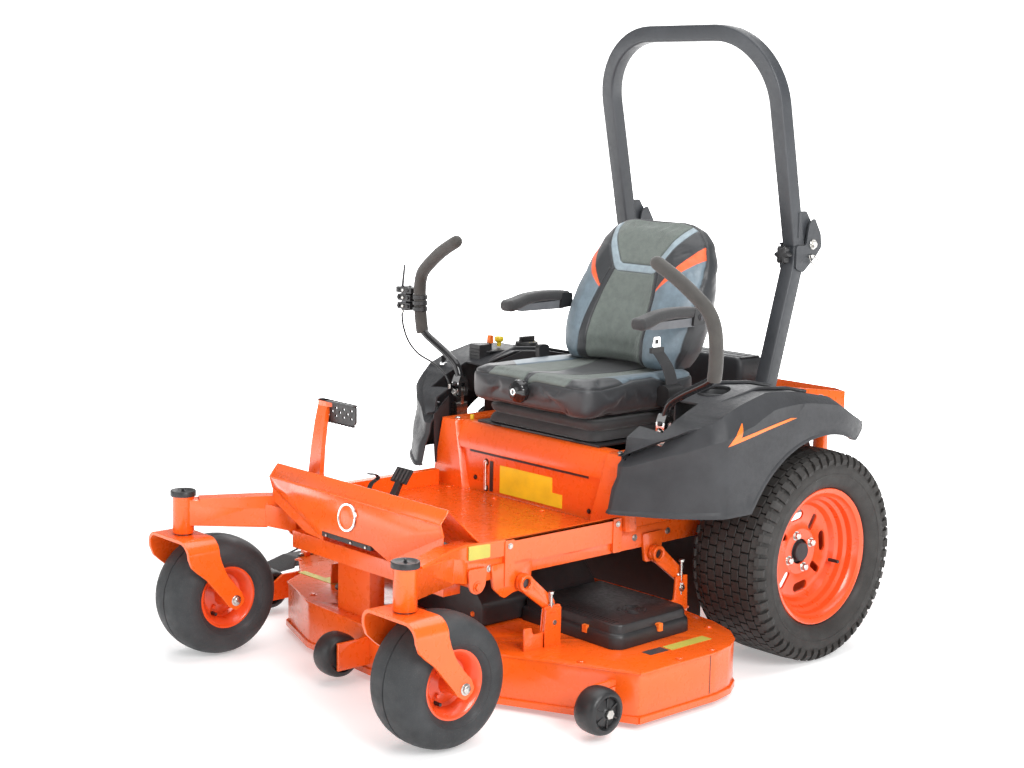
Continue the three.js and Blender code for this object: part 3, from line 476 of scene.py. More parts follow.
def paint(name, color, roughness=0.28):
    """Baked enamel: smooth, with a faint cloudiness."""
    m = Nodes(name, color, roughness)
    m.mottle(color, 5.0, 4.0, 0.9, 1.06)
    m.drive("Roughness", m.ramp(m.noise(40.0), 0.3, 0.75, roughness * 0.85, roughness * 1.25))
    m.drive("Coat Weight", 0.35)
    m.drive("Coat Roughness", 0.12)
    return m.material


def powder(name, color, roughness):
    """Textured powder coat."""
    m = Nodes(name, color, roughness)
    m.mottle(color, 9.0, 4.0, 0.85, 1.15)
    m.drive("Roughness", m.ramp(m.noise(60.0), 0.3, 0.7, roughness - 0.08, roughness + 0.08))
    m.bump(m.noise(700.0), 0.25, 0.0005)
    return m.material


def plastic(name, color, roughness, grain, gloss=0.5):
    """Moulded plastic: pebble grain and slight mottling."""
    m = Nodes(name, color, roughness)
    m.drive("Specular IOR Level", gloss)
    m.mottle(color, 14.0, 5.0, 0.86, 1.14)
    m.drive("Roughness", m.ramp(m.noise(90.0), 0.3, 0.7, roughness - 0.07, roughness + 0.09))
    m.bump(m.cells(900.0), grain, 0.0004)
    return m.material


def tyre_rubber(name, color, dusty):
    """Cured rubber: fine speckle, dull bloom and specks of dust."""
    m = Nodes(name, color, 0.62)
    bloom = m.mix(m.ramp(m.noise(11.0, 6.0), 0.35, 0.7), color, shade(color, 1.5))
    m.drive("Base Color", m.mix(m.ramp(m.noise(420.0, 2.0), 0.55, 0.75), bloom, dusty))
    m.drive("Roughness", m.ramp(m.noise(30.0, 4.0), 0.3, 0.7, 0.5, 0.74))
    m.drive("Specular IOR Level", 0.4)
    m.bump(m.noise(520.0), 0.3, 0.0006)
    return m.material


def metal(name, color, roughness):
    """Plated or machined steel with a drawn grain and dull spots."""
    m = Nodes(name, color, roughness, 1.0)
    grain = m.noise(60.0, 4.0, 0.6, (1, 1, 30))
    m.drive("Base Color", m.mix(m.ramp(m.noise(25.0, 5.0), 0.35, 0.7), shade(color, 0.78), color))
    m.drive("Roughness", m.ramp(grain, 0.25, 0.75, max(0.04, roughness - 0.1), roughness + 0.12))
    m.bump(grain, 0.12, 0.0003)
    return m.material


def cast(name, color, roughness=0.6):
    """Painted casting with an orange-skin surface."""
    m = Nodes(name, color, roughness, 0.35)
    m.mottle(color, 18.0, 6.0, 0.7, 1.3)
    m.bump(m.noise(330.0, 5.0, 0.7), 0.5, 0.0012)
    return m.material


def foam(name, color):
    """Closed-cell foam grip."""
    m = Nodes(name, color, 0.72)
    m.mottle(color, 22.0, 5.0, 0.8, 1.25)
    m.bump(m.noise(900.0, 4.0, 0.7), 0.5, 0.0007)
    m.drive("Sheen Weight", 0.25)
    return m.material


def upholstery(name):
    """Cover whose colour and weave come from the sewn panels painted on the mesh."""
    m = Nodes(name, (0.2, 0.2, 0.2), 0.55)
    panel = m.tree.nodes.new("ShaderNodeAttribute")
    panel.attribute_name = "panel"
    weave = m.math("MULTIPLY", m.wave(560.0, "X"), m.wave(560.0, "Z"))
    mottled = m.mix(m.ramp(m.noise(45.0, 6.0, 0.65), 0.3, 0.7), (0.8, 0.8, 0.8), (1.12, 1.12, 1.12))
    tint = m.tree.nodes.new("ShaderNodeMix")
    tint.data_type = "RGBA"
    tint.blend_type = "MULTIPLY"
    tint.inputs["Factor"].default_value = 1.0
    m.link(panel.outputs["Color"], tint.inputs["A"])
    m.link(mottled, tint.inputs["B"])
    m.drive("Base Color", tint.outputs["Result"])
    woven = m.math("MULTIPLY", weave, panel.outputs["Alpha"])
    leather = m.cells(520.0, "SMOOTH_F1")
    height = m.math("ADD", m.math("MULTIPLY", woven, 1.6), m.math("MULTIPLY", leather, 0.7))
    m.drive("Roughness", m.ramp(panel.outputs["Alpha"], 0.0, 1.0, 0.42, 0.82))
    m.bump(height, 0.35, 0.0006)
    m.drive("Sheen Weight", 0.15)
    return m.material


ORANGE = paint("orange_enamel", (0.85, 0.112, 0.008))
RIM_ORANGE = paint("rim_enamel", (0.82, 0.08, 0.013), 0.3)
CHARCOAL = powder("charcoal_powder_coat", (0.032, 0.035, 0.04), 0.42)
TYRE = tyre_rubber("turf_tyre_rubber", (0.02, 0.019, 0.018), (0.05, 0.036, 0.03))
SMOOTH_TYRE = tyre_rubber("caster_tyre_rubber", (0.026, 0.028, 0.03), (0.05, 0.05, 0.05))
FENDER = plastic("fender_plastic", (0.034, 0.035, 0.038), 0.46, 0.35, gloss=0.3)
FENDER_DARK = plastic("fender_plastic_dark", (0.018, 0.019, 0.021), 0.5, 0.35)
BLACK = plastic("black_plastic", (0.016, 0.016, 0.017), 0.4, 0.3)
GLOSS = plastic("gloss_black_plastic", (0.01, 0.01, 0.011), 0.14, 0.04)
ORANGE_PLASTIC = plastic("orange_plastic", (0.85, 0.17, 0.02), 0.35, 0.1)
YELLOW = plastic("yellow_plastic", (0.82, 0.6, 0.02), 0.35, 0.1)
CREAM = plastic("label_face", (0.5, 0.45, 0.08), 0.45, 0.02)
LABEL = plastic("seat_box_label", (0.88, 0.66, 0.02), 0.4, 0.02)
PALE_PLATE = plastic("arm_plate", (0.13, 0.135, 0.145), 0.5, 0.2)
SLATE_PLATE = plastic("dark_plate", (0.05, 0.052, 0.056), 0.4, 0.05)
ZINC = metal("zinc_plate", (0.62, 0.61, 0.58), 0.28)
CHROME = metal("chrome_plate", (0.8, 0.8, 0.8), 0.1)
DARK_STEEL = metal("black_oxide", (0.09, 0.09, 0.095), 0.35)
BLADE = metal("ground_blade", (0.35, 0.34, 0.33), 0.35)
CASTING = cast("grey_casting", (0.05, 0.05, 0.053))
ALLOY = cast("alloy_casting", (0.3, 0.3, 0.31), 0.45)
GRIP = foam("foam_grip", (0.035, 0.032, 0.028))
SOFT = foam("soft_black_rubber", (0.02, 0.02, 0.021))
COVER = upholstery("seat_cover")
WEBBING = foam("seat_belt_webbing", (0.02, 0.02, 0.022))


# ---- camera, light, floor ----------------------------------------------------------
AZIMUTH, ELEVATION, ROLL = 0.8325, 0.1553, 0.0192
CAMERA_PLACE = (3593, -3860, 1511)
FOCAL_LENGTH = 62.56


def look():
    """Camera at the photograph's place; studio() gives the soft studio light and the pale floor."""
    camera = bpy.data.objects.new("camera", bpy.data.cameras.new("camera"))
    bpy.context.scene.collection.objects.link(camera)
    level = math.cos(ELEVATION)
    back = Vector((math.sin(AZIMUTH) * level, -math.cos(AZIMUTH) * level, math.sin(ELEVATION)))
    right = Vector((math.cos(AZIMUTH), math.sin(AZIMUTH), 0))
    up = back.cross(right)
    lean, upright = math.sin(ROLL), math.cos(ROLL)
    right, up = (right * upright + up * lean, up * upright - right * lean)
    camera.matrix_world = Matrix((right, up, back)).transposed().to_4x4()
    camera.location = world(*CAMERA_PLACE)
    camera.data.sensor_width = 36
    camera.data.lens = FOCAL_LENGTH
    camera.data.clip_end = 100
    bpy.context.scene.camera = camera


def area_light(name, place, target, size, power):
    light = bpy.data.lights.new(name, "AREA")
    light.shape = "RECTANGLE"
    light.size, light.size_y = size
    light.energy = power
    obj = bpy.data.objects.new(name, light)
    obj.location = place
    obj.rotation_euler = (Vector(target) - Vector(place)).to_track_quat("-Z", "Y").to_euler()
    bpy.context.scene.collection.objects.link(obj)


def white_room():
    """White all round, but dimmer as a light than as a backdrop."""
    sky = bpy.data.worlds.new("studio")
    sky.use_nodes = True
    tree = sky.node_tree
    glow = tree.nodes["Background"]
    glow.inputs["Color"].default_value = (1, 1, 1, 1)
    glow.inputs["Strength"].default_value = 0.36
    backdrop = tree.nodes.new("ShaderNodeBackground")
    backdrop.inputs["Strength"].default_value = 2.5
    seen = tree.nodes.new("ShaderNodeLightPath")
    pick = tree.nodes.new("ShaderNodeMixShader")
    tree.links.new(seen.outputs["Is Camera Ray"], pick.inputs["Fac"])
    tree.links.new(glow.outputs["Background"], pick.inputs[1])
    tree.links.new(backdrop.outputs["Background"], pick.inputs[2])
    tree.links.new(pick.outputs["Shader"], tree.nodes["World Output"].inputs["Surface"])
    return sky


def studio():
    middle = (0, 0, 0.7)
    area_light("key", (5.0, -1.4, 3.4), middle, (2.6, 2.6), 270)
    area_light("fill", (-1.0, -5.5, 2.4), middle, (4.0, 3.0), 90)
    area_light("top", (0.0, 0.6, 5.0), middle, (5.0, 5.0), 220)
    area_light("rear", (-3.5, 4.0, 3.2), middle, (4.0, 3.0), 120)
    bm = bmesh.new()
    bmesh.ops.create_circle(bm, cap_ends=True, radius=40, segments=64)
    mesh = bpy.data.meshes.new("floor")
    bm.to_mesh(mesh)
    bm.free()
    floor = bpy.data.objects.new("floor", mesh)
    floor.location.z = -0.0005
    bpy.context.scene.collection.objects.link(floor)
    m = Nodes("floor_paper", (0.8, 0.8, 0.8), 0.9)
    m.drive("Base Color", m.mix(m.noise(2.0), (0.79, 0.79, 0.79), (0.81, 0.81, 0.81)))
    m.shader.inputs["Emission Color"].default_value = (1, 1, 1, 1)
    place = m.tree.nodes.new("ShaderNodeNewGeometry").outputs["Position"]
    far = m.tree.nodes.new("ShaderNodeVectorMath")
    far.operation = "LENGTH"
    m.link(place, far.inputs[0])
    m.drive("Emission Strength", m.ramp(far.outputs["Value"], 1.6, 4.5, 0.34, 2.6))
    m.bump(m.noise(300.0), 0.05, 0.0005)
    mesh.materials.append(m.material)
    bpy.context.scene.world = white_room()
    bpy.context.scene.view_settings.view_transform = "Standard"


look()
studio()


# ---- wheels ------------------------------------------------------------------------
def tread_radius(a):
    """Crown of the drive tyre's tread across its width."""
    over = max(0.0, abs(a) - 60) / 52
    return WHEEL_R - 11 * over * over


def tread_block(angle, a, half_along, half_across):
    """One turf block with clipped corners, standing on the carcass."""
    clip = 2.4
    shape = [(-1, -1, 1, 0), (1, -1, -1, 0), (1, -1, 0, 1), (1, 1, 0, -1),
             (1, 1, -1, 0), (-1, 1, 1, 0), (-1, 1, 0, -1), (-1, -1, 0, 1)]
    rings = []
    for inset, drop in ((-0.8, 13), (0, 0.9), (0.9, 0)):
        ring = []
        for u, v, cu, cv in shape:
            along = u * (half_along - inset) + cu * clip
            across = a + v * (half_across - inset) + cv * clip
            r = tread_radius(across) - drop
            t = angle + along / WHEEL_R
            ring.append((across, r * math.cos(t), r * math.sin(t)))
        rings.append(ring)
    return loft(rings)


def shoulder_lug(angle, side, length, reach):
    """Lug that runs over the shoulder and a little way down the sidewall."""
    rings = []
    for r, a, lift in ((288, 101, 0), (291, 104, 3.5), (283, 114, 5.5), (272 - reach, 122, 4),
                       (264 - reach, 121, 0)):
        half = length / 2 / WHEEL_R
        low = (r - 8, a - 5)
        ring = []
        for rr, aa, t in ((r + lift * 0.5, a + lift * 0.35, -half),
                          (r + lift * 0.5, a + lift * 0.35, half),
                          (low[0], low[1], half), (low[0], low[1], -half)):
            ring.append((side * aa, rr * math.cos(angle + t), rr * math.sin(angle + t)))
        rings.append(ring)
    return loft(rings)


def tyre_profile(outer, inner):
    """Whole section of a tyre from the outer and inner lines of one side."""
    far_outer = [(r, -a) for r, a in reversed(outer[:-1])]
    far_inner = [(r, -a) for r, a in reversed(inner[1:])]
    return outer + far_outer + far_inner + inner + [outer[0]]


def drive_tyre(half, sign):
    outer = [(192.5, 90), (193, 97), (194, 103), (198, 109), (212, 118.5), (236, 122.5), (256, 120),
             (272, 113), (281, 103), (285.5, 86), (287, 50), (287, 0)]
    inner = [(278, 0), (276, 80), (250, 104), (200, 90)]
    centre = (sign * WHEEL_X, 0, WHEEL_R)
    parts = [(lathe("x", centre, tyre_profile(outer, inner), 96), TYRE)]
    rows = 56
    tread = []
    for k, a in enumerate((-98, -70, -42, -14, 14, 42, 70, 98)):
        for i in range(rows):
            angle = 2 * math.pi * (i + 0.5 * (k % 2)) / rows
            tread.append(tread_block(angle, a, 14.6, 12.7))
    for i in range(rows):
        for side in (-1, 1):
            angle = 2 * math.pi * (i + (0.0 if side > 0 else 0.5)) / rows
            tread.append(shoulder_lug(angle, side, 21, 8 if i % 2 else 0))
    for part in tread:
        parts.append((moved(part, *centre), TYRE))
    for a in (117.5, 121.6):
        r = 214 if a < 120 else 232
        ring = [(r, a), (r + 1.5, a + 1.6), (r + 4.5, a + 1.6), (r + 6, a), (r, a)]
        for s in (-1, 1):
            parts.append((lathe("x", centre, [(p, s * q) for p, q in ring], 96), TYRE))
    piece("turf_tyre_" + half, "drive_wheel_" + half, parts, ["drive_tyre_" + half],
          angle=30)


def applied(obj):
    """The object's mesh with its modifiers worked in."""
    bpy.context.view_layer.update()
    evaluated = obj.evaluated_get(bpy.context.evaluated_depsgraph_get())
    mesh = bpy.data.meshes.new_from_object(evaluated)
    obj.modifiers.clear()
    obj.data = mesh
    return obj


def carve(obj, cutters):
    """Cuts the parts out of the object for good."""
    bm = bmesh.new()
    for part in cutters:
        merge(bm, part, 0, False)
    bmesh.ops.recalc_face_normals(bm, faces=bm.faces)
    mesh = bpy.data.meshes.new("cutter")
    bm.to_mesh(mesh)
    bm.free()
    tool = bpy.data.objects.new("cutter", mesh)
    bpy.context.scene.collection.objects.link(tool)
    mod = obj.modifiers.new("cut", "BOOLEAN")
    mod.operation = "DIFFERENCE"
    mod.solver = "EXACT"
    mod.use_self = True
    mod.object = tool
    applied(obj)
    bpy.data.objects.remove(tool)
    mark_sharp(obj.data, math.radians(35))


def slot_cutter(centre, angle, r, length, width, radial, depth):
    """A rounded slot through the wheel disc."""
    half, end = length / 2 - width / 2, width / 2
    outline = []
    for side in (1, -1):
        for k in range(9):
            t = math.pi * (k / 8 - 0.5)
            outline.append((side * (half + end * math.cos(t)), side * end * math.sin(t)))
    ring = []
    for u, v in outline:
        along, across = (v, u) if radial else (u, v)
        y = (r + across) * math.cos(angle) - along * math.sin(angle)
        z = (r + across) * math.sin(angle) + along * math.cos(angle)
        ring.append((y, z))
    x, cy, cz = centre
    return loft([[(x + a, cy + y, cz + z) for y, z in ring] for a in depth])


def drive_rim(half, sign):
    centre = (sign * WHEEL_X, 0, WHEEL_R)
    outline = [(36, 26), (64, 27), (74, 22), (122, 20), (132, 24), (140, 38), (150, 44), (154, 58),
               (163, 64), (166, 80), (173, 86), (177, 96), (184, 101), (190, 102), (192, 99), (190, 96),
               (182, 92)]
    back = [(176, 82), (171, 62), (171, -60), (176, -82), (182, -92), (190, -96), (192, -99),
            (190, -102), (184, -100), (174, -88), (166, -62), (166, 52), (155, 44), (147, 34),
            (139, 28), (131, 14), (74, 15), (62, 20), (36, 20), (36, 26)]
    profile = [(r, sign * a) for r, a in outline + back]
    rim = piece("pressed_rim_" + half, "drive_wheel_" + half,
                [(lathe("x", centre, profile, 96), RIM_ORANGE)], ["drive_rim_" + half], angle=28)
    cutters = []
    for k in range(8):
        angle = math.radians(8 + 45 * k)
        radial = bool(k % 2)
        size = (94, 52, 20) if radial else (104, 60, 27)
        ends = sorted((sign * 10, sign * 32))
        cutters.append(slot_cutter(centre, angle, *size, radial, ends))
    carve(rim, cutters)
    profile = ((0, -18), (60, -18), (60, 12), (34, 14), (30, 20), (27, 22), (27, 34), (24, 37), (0, 38))
    hub = [(lathe("x", centre, [(r, sign * a) for r, a in profile], 48), CASTING)]
    for k in range(4):
        t = math.radians(22 + 90 * k)
        spot = (centre[0] + sign * 25, 50.8 * math.cos(t), WHEEL_R + 50.8 * math.sin(t))
        hub += coated(bolt(spot, "x", 10, sign * 13), ZINC)
    valve = (centre[0] + sign * 46, 118, WHEEL_R - 40)
    hub.append((rod("x", valve, 5, -8, 26, 16), BLACK))
    piece("wheel_hub_" + half, "drive_wheel_" + half, hub, angle=35)


def caster_wheel(half, sign):
    centre = (sign * CASTER_X, CASTER_AXLE_Y, CASTER_R)
    body = "caster_wheel_" + half
    outer = [(78, 55), (84, 62), (89, 66), (93, 72), (103, 78.5), (117, 81.5), (132, 79.5), (145, 72),
             (154, 60), (160, 44), (163.6, 26), (165, 8), (164.6, 3), (162, 1.6), (162, 0)]
    inner = [(150, 0), (146, 40), (118, 66), (84, 48)]
    rings = [(lathe("x", centre, tyre_profile(outer, inner), 96), SMOOTH_TYRE)]
    for s in (-1, 1):
        bead = [(100, s * 75), (101, s * 77.6), (103, s * 79), (105, s * 78.4), (100, s * 75)]
        rings.append((lathe("x", centre, bead, 96), SMOOTH_TYRE))
    piece("smooth_tyre_" + half, body, rings, ["caster_tyre_" + half])
    face = [(11.5, 90), (20, 90), (22, 86), (22, 46), (27, 36), (52, 26), (60, 30), (64, 44), (70, 50),
            (74, 58), (81, 63), (86, 63.4), (88, 60), (82, 57), (76, 50)]
    profile = face + [(68, 0)] + [(r, -a) for r, a in reversed(face)] + [face[0]]
    rim = [(lathe("x", centre, profile, 72), RIM_ORANGE)]
    for s in (-1, 1):
        stem = (centre[0] + s * 30, centre[1] - 30, centre[2] - 46)
        rim.append((rod("x", stem, 4.5, -4 if s > 0 else -20, 20 if s > 0 else 4, 16), BLACK))
        for k in range(4):
            t = math.radians(45 + 90 * k)
            spot = (centre[0] + s * 33, centre[1] + 40 * math.cos(t), centre[2] + 40 * math.sin(t))
            rim += coated(bolt(spot, "x", 6, s * 6, washer=False), RIM_ORANGE)
    piece("split_rim_" + half, body, rim, ["caster_rim_" + half], angle=30)


FORK_FRONT = ((139, 96), (152, 76), (170, 64), (200, 38), (236, 8), (255, -16), (276, -38), (300, -47),
              (342, -52))
FORK_BACK = ((139, 104), (150, 122), (165, 128), (186, 119), (206, 100), (236, 76), (270, 59),
             (300, 50),
             (342, 46))


def fork_strap(sign):
    """One plate bent over the wheel: two shaped legs and the crown."""
    half, t, bend = 98, 10, 34
    path = [(half, 139), (half, 152), (half, 165), (half, 186), (half, 206), (half, 236), (half, 256),
            (half, 276), (half, 300)]
    for k in range(9):
        a = math.pi / 2 * k / 8
        path.append((half - bend + bend * math.cos(a), 342 - bend + bend * math.sin(a)))
    path += [(30, 342)]
    path += [(-x, z) for x, z in reversed(path)]
    rings = []
    for i, (x, z) in enumerate(path):
        (x0, z0), (x1, z1) = path[max(i - 1, 0)], path[min(i + 1, len(path) - 1)]
        d = Vector((x1 - x0, z1 - z0)).normalized()
        n = Vector((d.y, -d.x))
        front, back = reading(FORK_FRONT, z), reading(FORK_BACK, z)
        out, into = Vector((x, z)) + n * t / 2, Vector((x, z)) - n * t / 2
        rings.append([(out.x, front, out.y), (out.x, back, out.y), (into.x, back, into.y),
                      (into.x, front, into.y)])
    return moved(loft(rings), sign * CASTER_X, CASTER_Y, 0)


def caster_fork(half, sign):
    parts = [(fork_strap(sign), ORANGE)]
    parts.append((rod("z", (sign * CASTER_X, CASTER_Y, 0), 24, 346, 350, 40), DARK_STEEL))
    for s in (-1, 1):
        spot = (sign * CASTER_X + s * 103, CASTER_AXLE_Y, CASTER_R)
        parts += coated(bolt(spot, "x", 11, s * 8), ZINC)
    piece("fork_" + half, "caster_fork_" + half, parts, ["caster_fork_" + half],
          bevel=1.6, angle=50)


def wheels():
    for half, sign in SIDES:
        drive_tyre(half, sign)
        drive_rim(half, sign)
        caster_wheel(half, sign)
        caster_fork(half, sign)


wheels()


# ---- fenders -----------------------------------------------------------------------
FENDER_TOP = ((-552, 612), (-500, 655), (-410, 705), (-300, 748), (-200, 772), (-80, 762), (57, 735),
              (164, 680), (200, 655))
FENDER_PLAN = ((385, -600), (410, -602), (470, -565), (540, -515), (590, -462), (625, -415),
               (632, -370), (632, -250), (632, -120), (632, 0), (630, 90), (618, 155), (600, 205))
ARCH_R = 340
CUP = (452, -262, 0)
BAND = ((0.0, -34), (0.07, -20), (0.15, -8), (0.20, -3), (0.40, -9), (0.60, -1), (0.80, -3), (0.93, -4),
        (0.96, 0), (1.0, 0))


def fender_low(y):
    """Bottom edge: level at the front, then the wheel arch."""
    if y < -299:
        return 458
    if y < 149:
        return WHEEL_R + math.sqrt(ARCH_R ** 2 - y * y)
    return 601 + (y - 149) * 27 / 56


def fender_rings():
    plan = smooth_path([(x, y, 0) for x, y in FENDER_PLAN], 5)
    rings = []
    for i, p in enumerate(plan):
        ahead = plan[min(i + 1, len(plan) - 1)] - plan[max(i - 1, 0)]
        out = Vector((ahead.y, -ahead.x, 0)).normalized()
        share = i / (len(plan) - 1)
        high = reading(FENDER_TOP, max(p.y + 50 * (1 - share), -552))
        low = fender_low(p.y)
        bold = 1.0 if share < 0.35 else max(0.25, 1 - (share - 0.35) * 1.6)
        inner_y = max(p.y, -548 + 60 * share)
        ring = [(392, inner_y, high - 2)]
        shoulder = p + out * BAND[0][1]
        for t in (0.35, 0.7, 0.92):
            ring.append((392 + (shoulder.x - 392) * t, inner_y + (shoulder.y - inner_y) * t,
                         high - 3 * t))
        slant = 46 * min(1.0, max(0.0, (-440 - p.y) / 110))
        for t, off in BAND:
            gap = off if t < 0.16 else off * bold
            q = p + out * gap
            ring.append((q.x, q.y + slant * (1 - t), high + (low - high) * t))
        lip = p - out * 14
        ring.append((lip.x, lip.y, low + 1))
        rings.append(ring)
    return rings


def fender(half, sign):
    """Thin moulded shell over the drive wheel."""
    rings = fender_rings()
    verts, faces = loft(rings, caps=False, ring_closed=False)
    shell = piece("fender_skin_" + half, None,
                  [(on_side((verts, faces), sign), FENDER)], angle=26)
    thick = shell.modifiers.new("wall", "SOLIDIFY")
    thick.thickness = 4 * MM
    thick.offset = -1
    applied(shell)
    cutters = [on_side(box(360, 474, -488, -350, 540, 900), sign)]
    if sign > 0:
        cutters.append(lathe("z", CUP, [(0, 640), (43, 640), (43, 900), (0, 900)], 40))
    carve(shell, cutters)
    soft = shell.modifiers.new("edges", "BEVEL")
    soft.width = 1.2 * MM
    soft.segments = 2
    soft.angle_limit = math.radians(50)
    own(shell, "root", ["fender_" + half])
    parts = []
    inner_wall = [(-548, 560), (-548, 606), (-500, 650), (-490, 655), (-490, 544), (-348, 544),
                  (-348, 724), (-300, 743), (-200, 767), (-80, 757), (57, 730),
                  (164, 675), (198, 652), (198, 630), (150, 602), (0, 636), (-150, 600), (-260, 520),
                  (-300, 470), (-540, 462)]
    wall = slab("yz", inner_wall, 386, 390)
    parts.append((on_side(wall, sign), FENDER_DARK))
    if sign > 0:
        cup = [(43, 752), (44.5, 758), (46.5, 756), (46, 750), (45, 662), (43, 658), (0, 658), (0, 662),
               (41, 663), (43, 666), (43, 752)]
        parts.append((lathe("z", CUP, cup, 48), FENDER_DARK))
    piece("fender_inside_" + half, "root", parts, angle=30)
    if sign > 0:
        stripe(sign)


def fender_side(y, z):
    """Half width of the fender's outer face at a height."""
    samples = []
    for ring in fender_rings():
        side = ring[4:4 + len(BAND)]
        for (ax, ay, az), (bx, by, bz) in zip(side, side[1:]):
            if bz <= z <= az:
                t = (z - az) / (bz - az)
                samples.append((ay + (by - ay) * t, ax + (bx - ax) * t))
                break
    samples.sort()
    return reading(samples, y)


def ribbon(low_edge, high_edge, steps, lift=0.9):
    """Thin strip laid on the fender between two edges given as (y, z) ends."""
    rings = []
    for k in range(steps + 1):
        t = k / steps
        pair = []
        for a, b in (low_edge, high_edge):
            pair.append((a[0] + (b[0] - a[0]) * t, a[1] + (b[1] - a[1]) * t))
        (y0, z0), (y1, z1) = pair
        x0, x1 = fender_side(y0, z0), fender_side(y1, z1)
        rings.append([(x0 + lift, y0, z0), (x1 + lift, y1, z1), (x1 - 1, y1, z1), (x0 - 1, y0, z0)])
    return loft(rings)


def stripe(sign):
    """Plain tapered orange stripe with a raised front tip on the side of the fender."""
    tail = ribbon(((-400, 648), (-126, 697)), ((-372, 664), (-150, 699)), 24)
    tip = ribbon(((-400, 648), (-345, 704)), ((-352, 664), (-343, 704)), 8, 1.1)
    parts = coated((tail, tip), ORANGE_PLASTIC, sign)
    piece("fender_stripe", "root", parts)


# ---- roll bar ----------------------------------------------------------------------
ROPS_X = 333
HOOP_LEAN = -0.209
HINGE = (245, 1130)


def hoop_point(x, z):
    return Vector((x, 194 + HOOP_LEAN * (z - 1130), z))


def roll_bar():
    section = square_section(23.6, 23.6, 7)
    rise = 1728
    hoop = bent_path([hoop_point(-ROPS_X, 1130), hoop_point(-ROPS_X, rise), hoop_point(ROPS_X, rise),
                      hoop_point(ROPS_X, 1130)], 205, 14)
    parts = [(sweep(hoop, section, side=(0, 1, 0)), CHARCOAL)]
    for s in SIGNS:
        x = s * ROPS_X
        ear = [(205, 1136), (223, 1136), (231, 1116), (259, 1116), (267, 1136), (262, 1176),
               (226, 1226), (202, 1226)]
        for side in (-1, 1):
            parts.append((slab("yz", ear, x + side * 14, x + side * 18, 6), CHARCOAL))
        seam = hoop_point(x, 1170)
        parts.append((rod("z", (seam.x + s * 24.2, seam.y, 0), 2.2, 1150, 1225, 12), CHARCOAL))
    piece("roll_hoop", "rops_hoop", parts, ["rops_hoop"], angle=30)
    for half, s in SIDES:
        roll_bar_base(half, s)


def roll_bar_base(half, s):
    x = s * ROPS_X
    section = square_section(24, 24, 7)
    path = [Vector((x, 0.5, 404)), Vector((x, 92, 722)), Vector((x, 187, 1052)), Vector((x, 194, 1090)),
            Vector((x, 194, 1124))]
    parts = [(sweep(bent_path(path, 30, 4), section, side=(1, 0, 0)), CHARCOAL)]
    outline = [(172, 1062), (206, 1050), (262, 1096), (286, 1122), (280, 1160), (250, 1206),
               (226, 1190), (215, 1128), (172, 1128)]
    for side in (-1, 1):
        at = x + side * 27.6
        parts.append((slab("yz", outline, at - 3, at + 3, 8), CHARCOAL))
        low, high = sorted((side * -3, side * 6))
        parts.append((rod("x", (at, *HINGE), 15, low, high, 28), ZINC))
        for y, z in ((262, 1168), (252, 1190), (196, 1080)):
            parts.append((rod("x", (at, y, z), 4.5, -3.4, 3.4, 20), DARK_STEEL))
    parts += coated(bolt((x + 33, *HINGE), "x", 10, 8), ZINC)
    parts += coated(bolt((x - 33, *HINGE), "x", 10, -8), ZINC)
    clip = tube([(x + 34, 226, 1098), (x + 44, 220, 1086), (x + 46, 236, 1072), (x + 42, 254, 1086),
                 (x + 34, 244, 1100)], 2, 10, 6)
    parts.append((clip, ZINC))
    parts.append((rod("x", (x, 235, 1096), 6, -40, 40, 24), ZINC))
    band = [(168, 1128), (222, 1128), (222, 1134), (168, 1134)]
    parts.append((slab("yz", band, x - 31, x - 25), CHARCOAL))
    foot = [(-34, 400.5), (40, 400.5), (40, 470), (10, 500), (-20, 500), (-34, 470)]
    for side in (-1, 1):
        at = x + side * 27
        parts.append((slab("yz", foot, at - 2.6, at + 2.6, 8), CHARCOAL))
        for y in (-8, 20):
            parts += coated(bolt((at + side * 2.6, y, 436), "x", 8, side * 6), ZINC)
    piece("roll_post_" + half, "root", parts, ["rops_base_" + half], angle=30)
    knob = [(rod("y", (x, 170, 1102), 7, -10, -0.5, 20), ZINC)]
    lobes = []
    for k in range(96):
        t = 2 * math.pi * k / 96
        r = 23.5 + 4.5 * math.cos(6 * t)
        lobes.append((r * math.cos(t), r * math.sin(t)))
    levels = ((10, 0.8), (12, 0.95), (27, 1.0), (31, 0.86), (32, 0.4))
    rings = [[(x + a * f, 170 - y, 1102 + b * f) for a, b in lobes] for y, f in levels]
    knob.append((loft(rings), BLACK))
    piece("star_knob_" + half, "rops_knob_" + half, knob, ["rops_knob_" + half],
          angle=35)


# ---- steering levers ---------------------------------------------------------------
LEVER = (420, -420, 660)
ROD_PATH = ((0, 0, 30), (6, -1, 56), (22, -2, 82), (62, -3, 108), (110, -4, 132), (150, -5, 152),
            (170, -6, 168), (176, -6, 186))
GRIP_PATH = ((172, -6, 158), (178, -8, 200), (180, -11, 250), (176, -15, 296), (164, -20, 330),
             (140, -25, 358), (60, -32, 413), (-33, -35, 460))
CABLE_PATH = ((260, -14, 221), (260, -16, 200), (246, -20, 165), (212, -26, 126), (160, -30, 96),
              (100, -28, 78), (52, -26, 56), (30, -24, 34), (24, -22, 12))


def grip_scale(t):
    """Round the free end of the grip over."""
    if t > 0.965:
        return math.sqrt(max(0.02, 1 - ((t - 0.965) / 0.035) ** 2))
    if t < 0.02:
        return 0.9 + 5 * t
    return 1.0


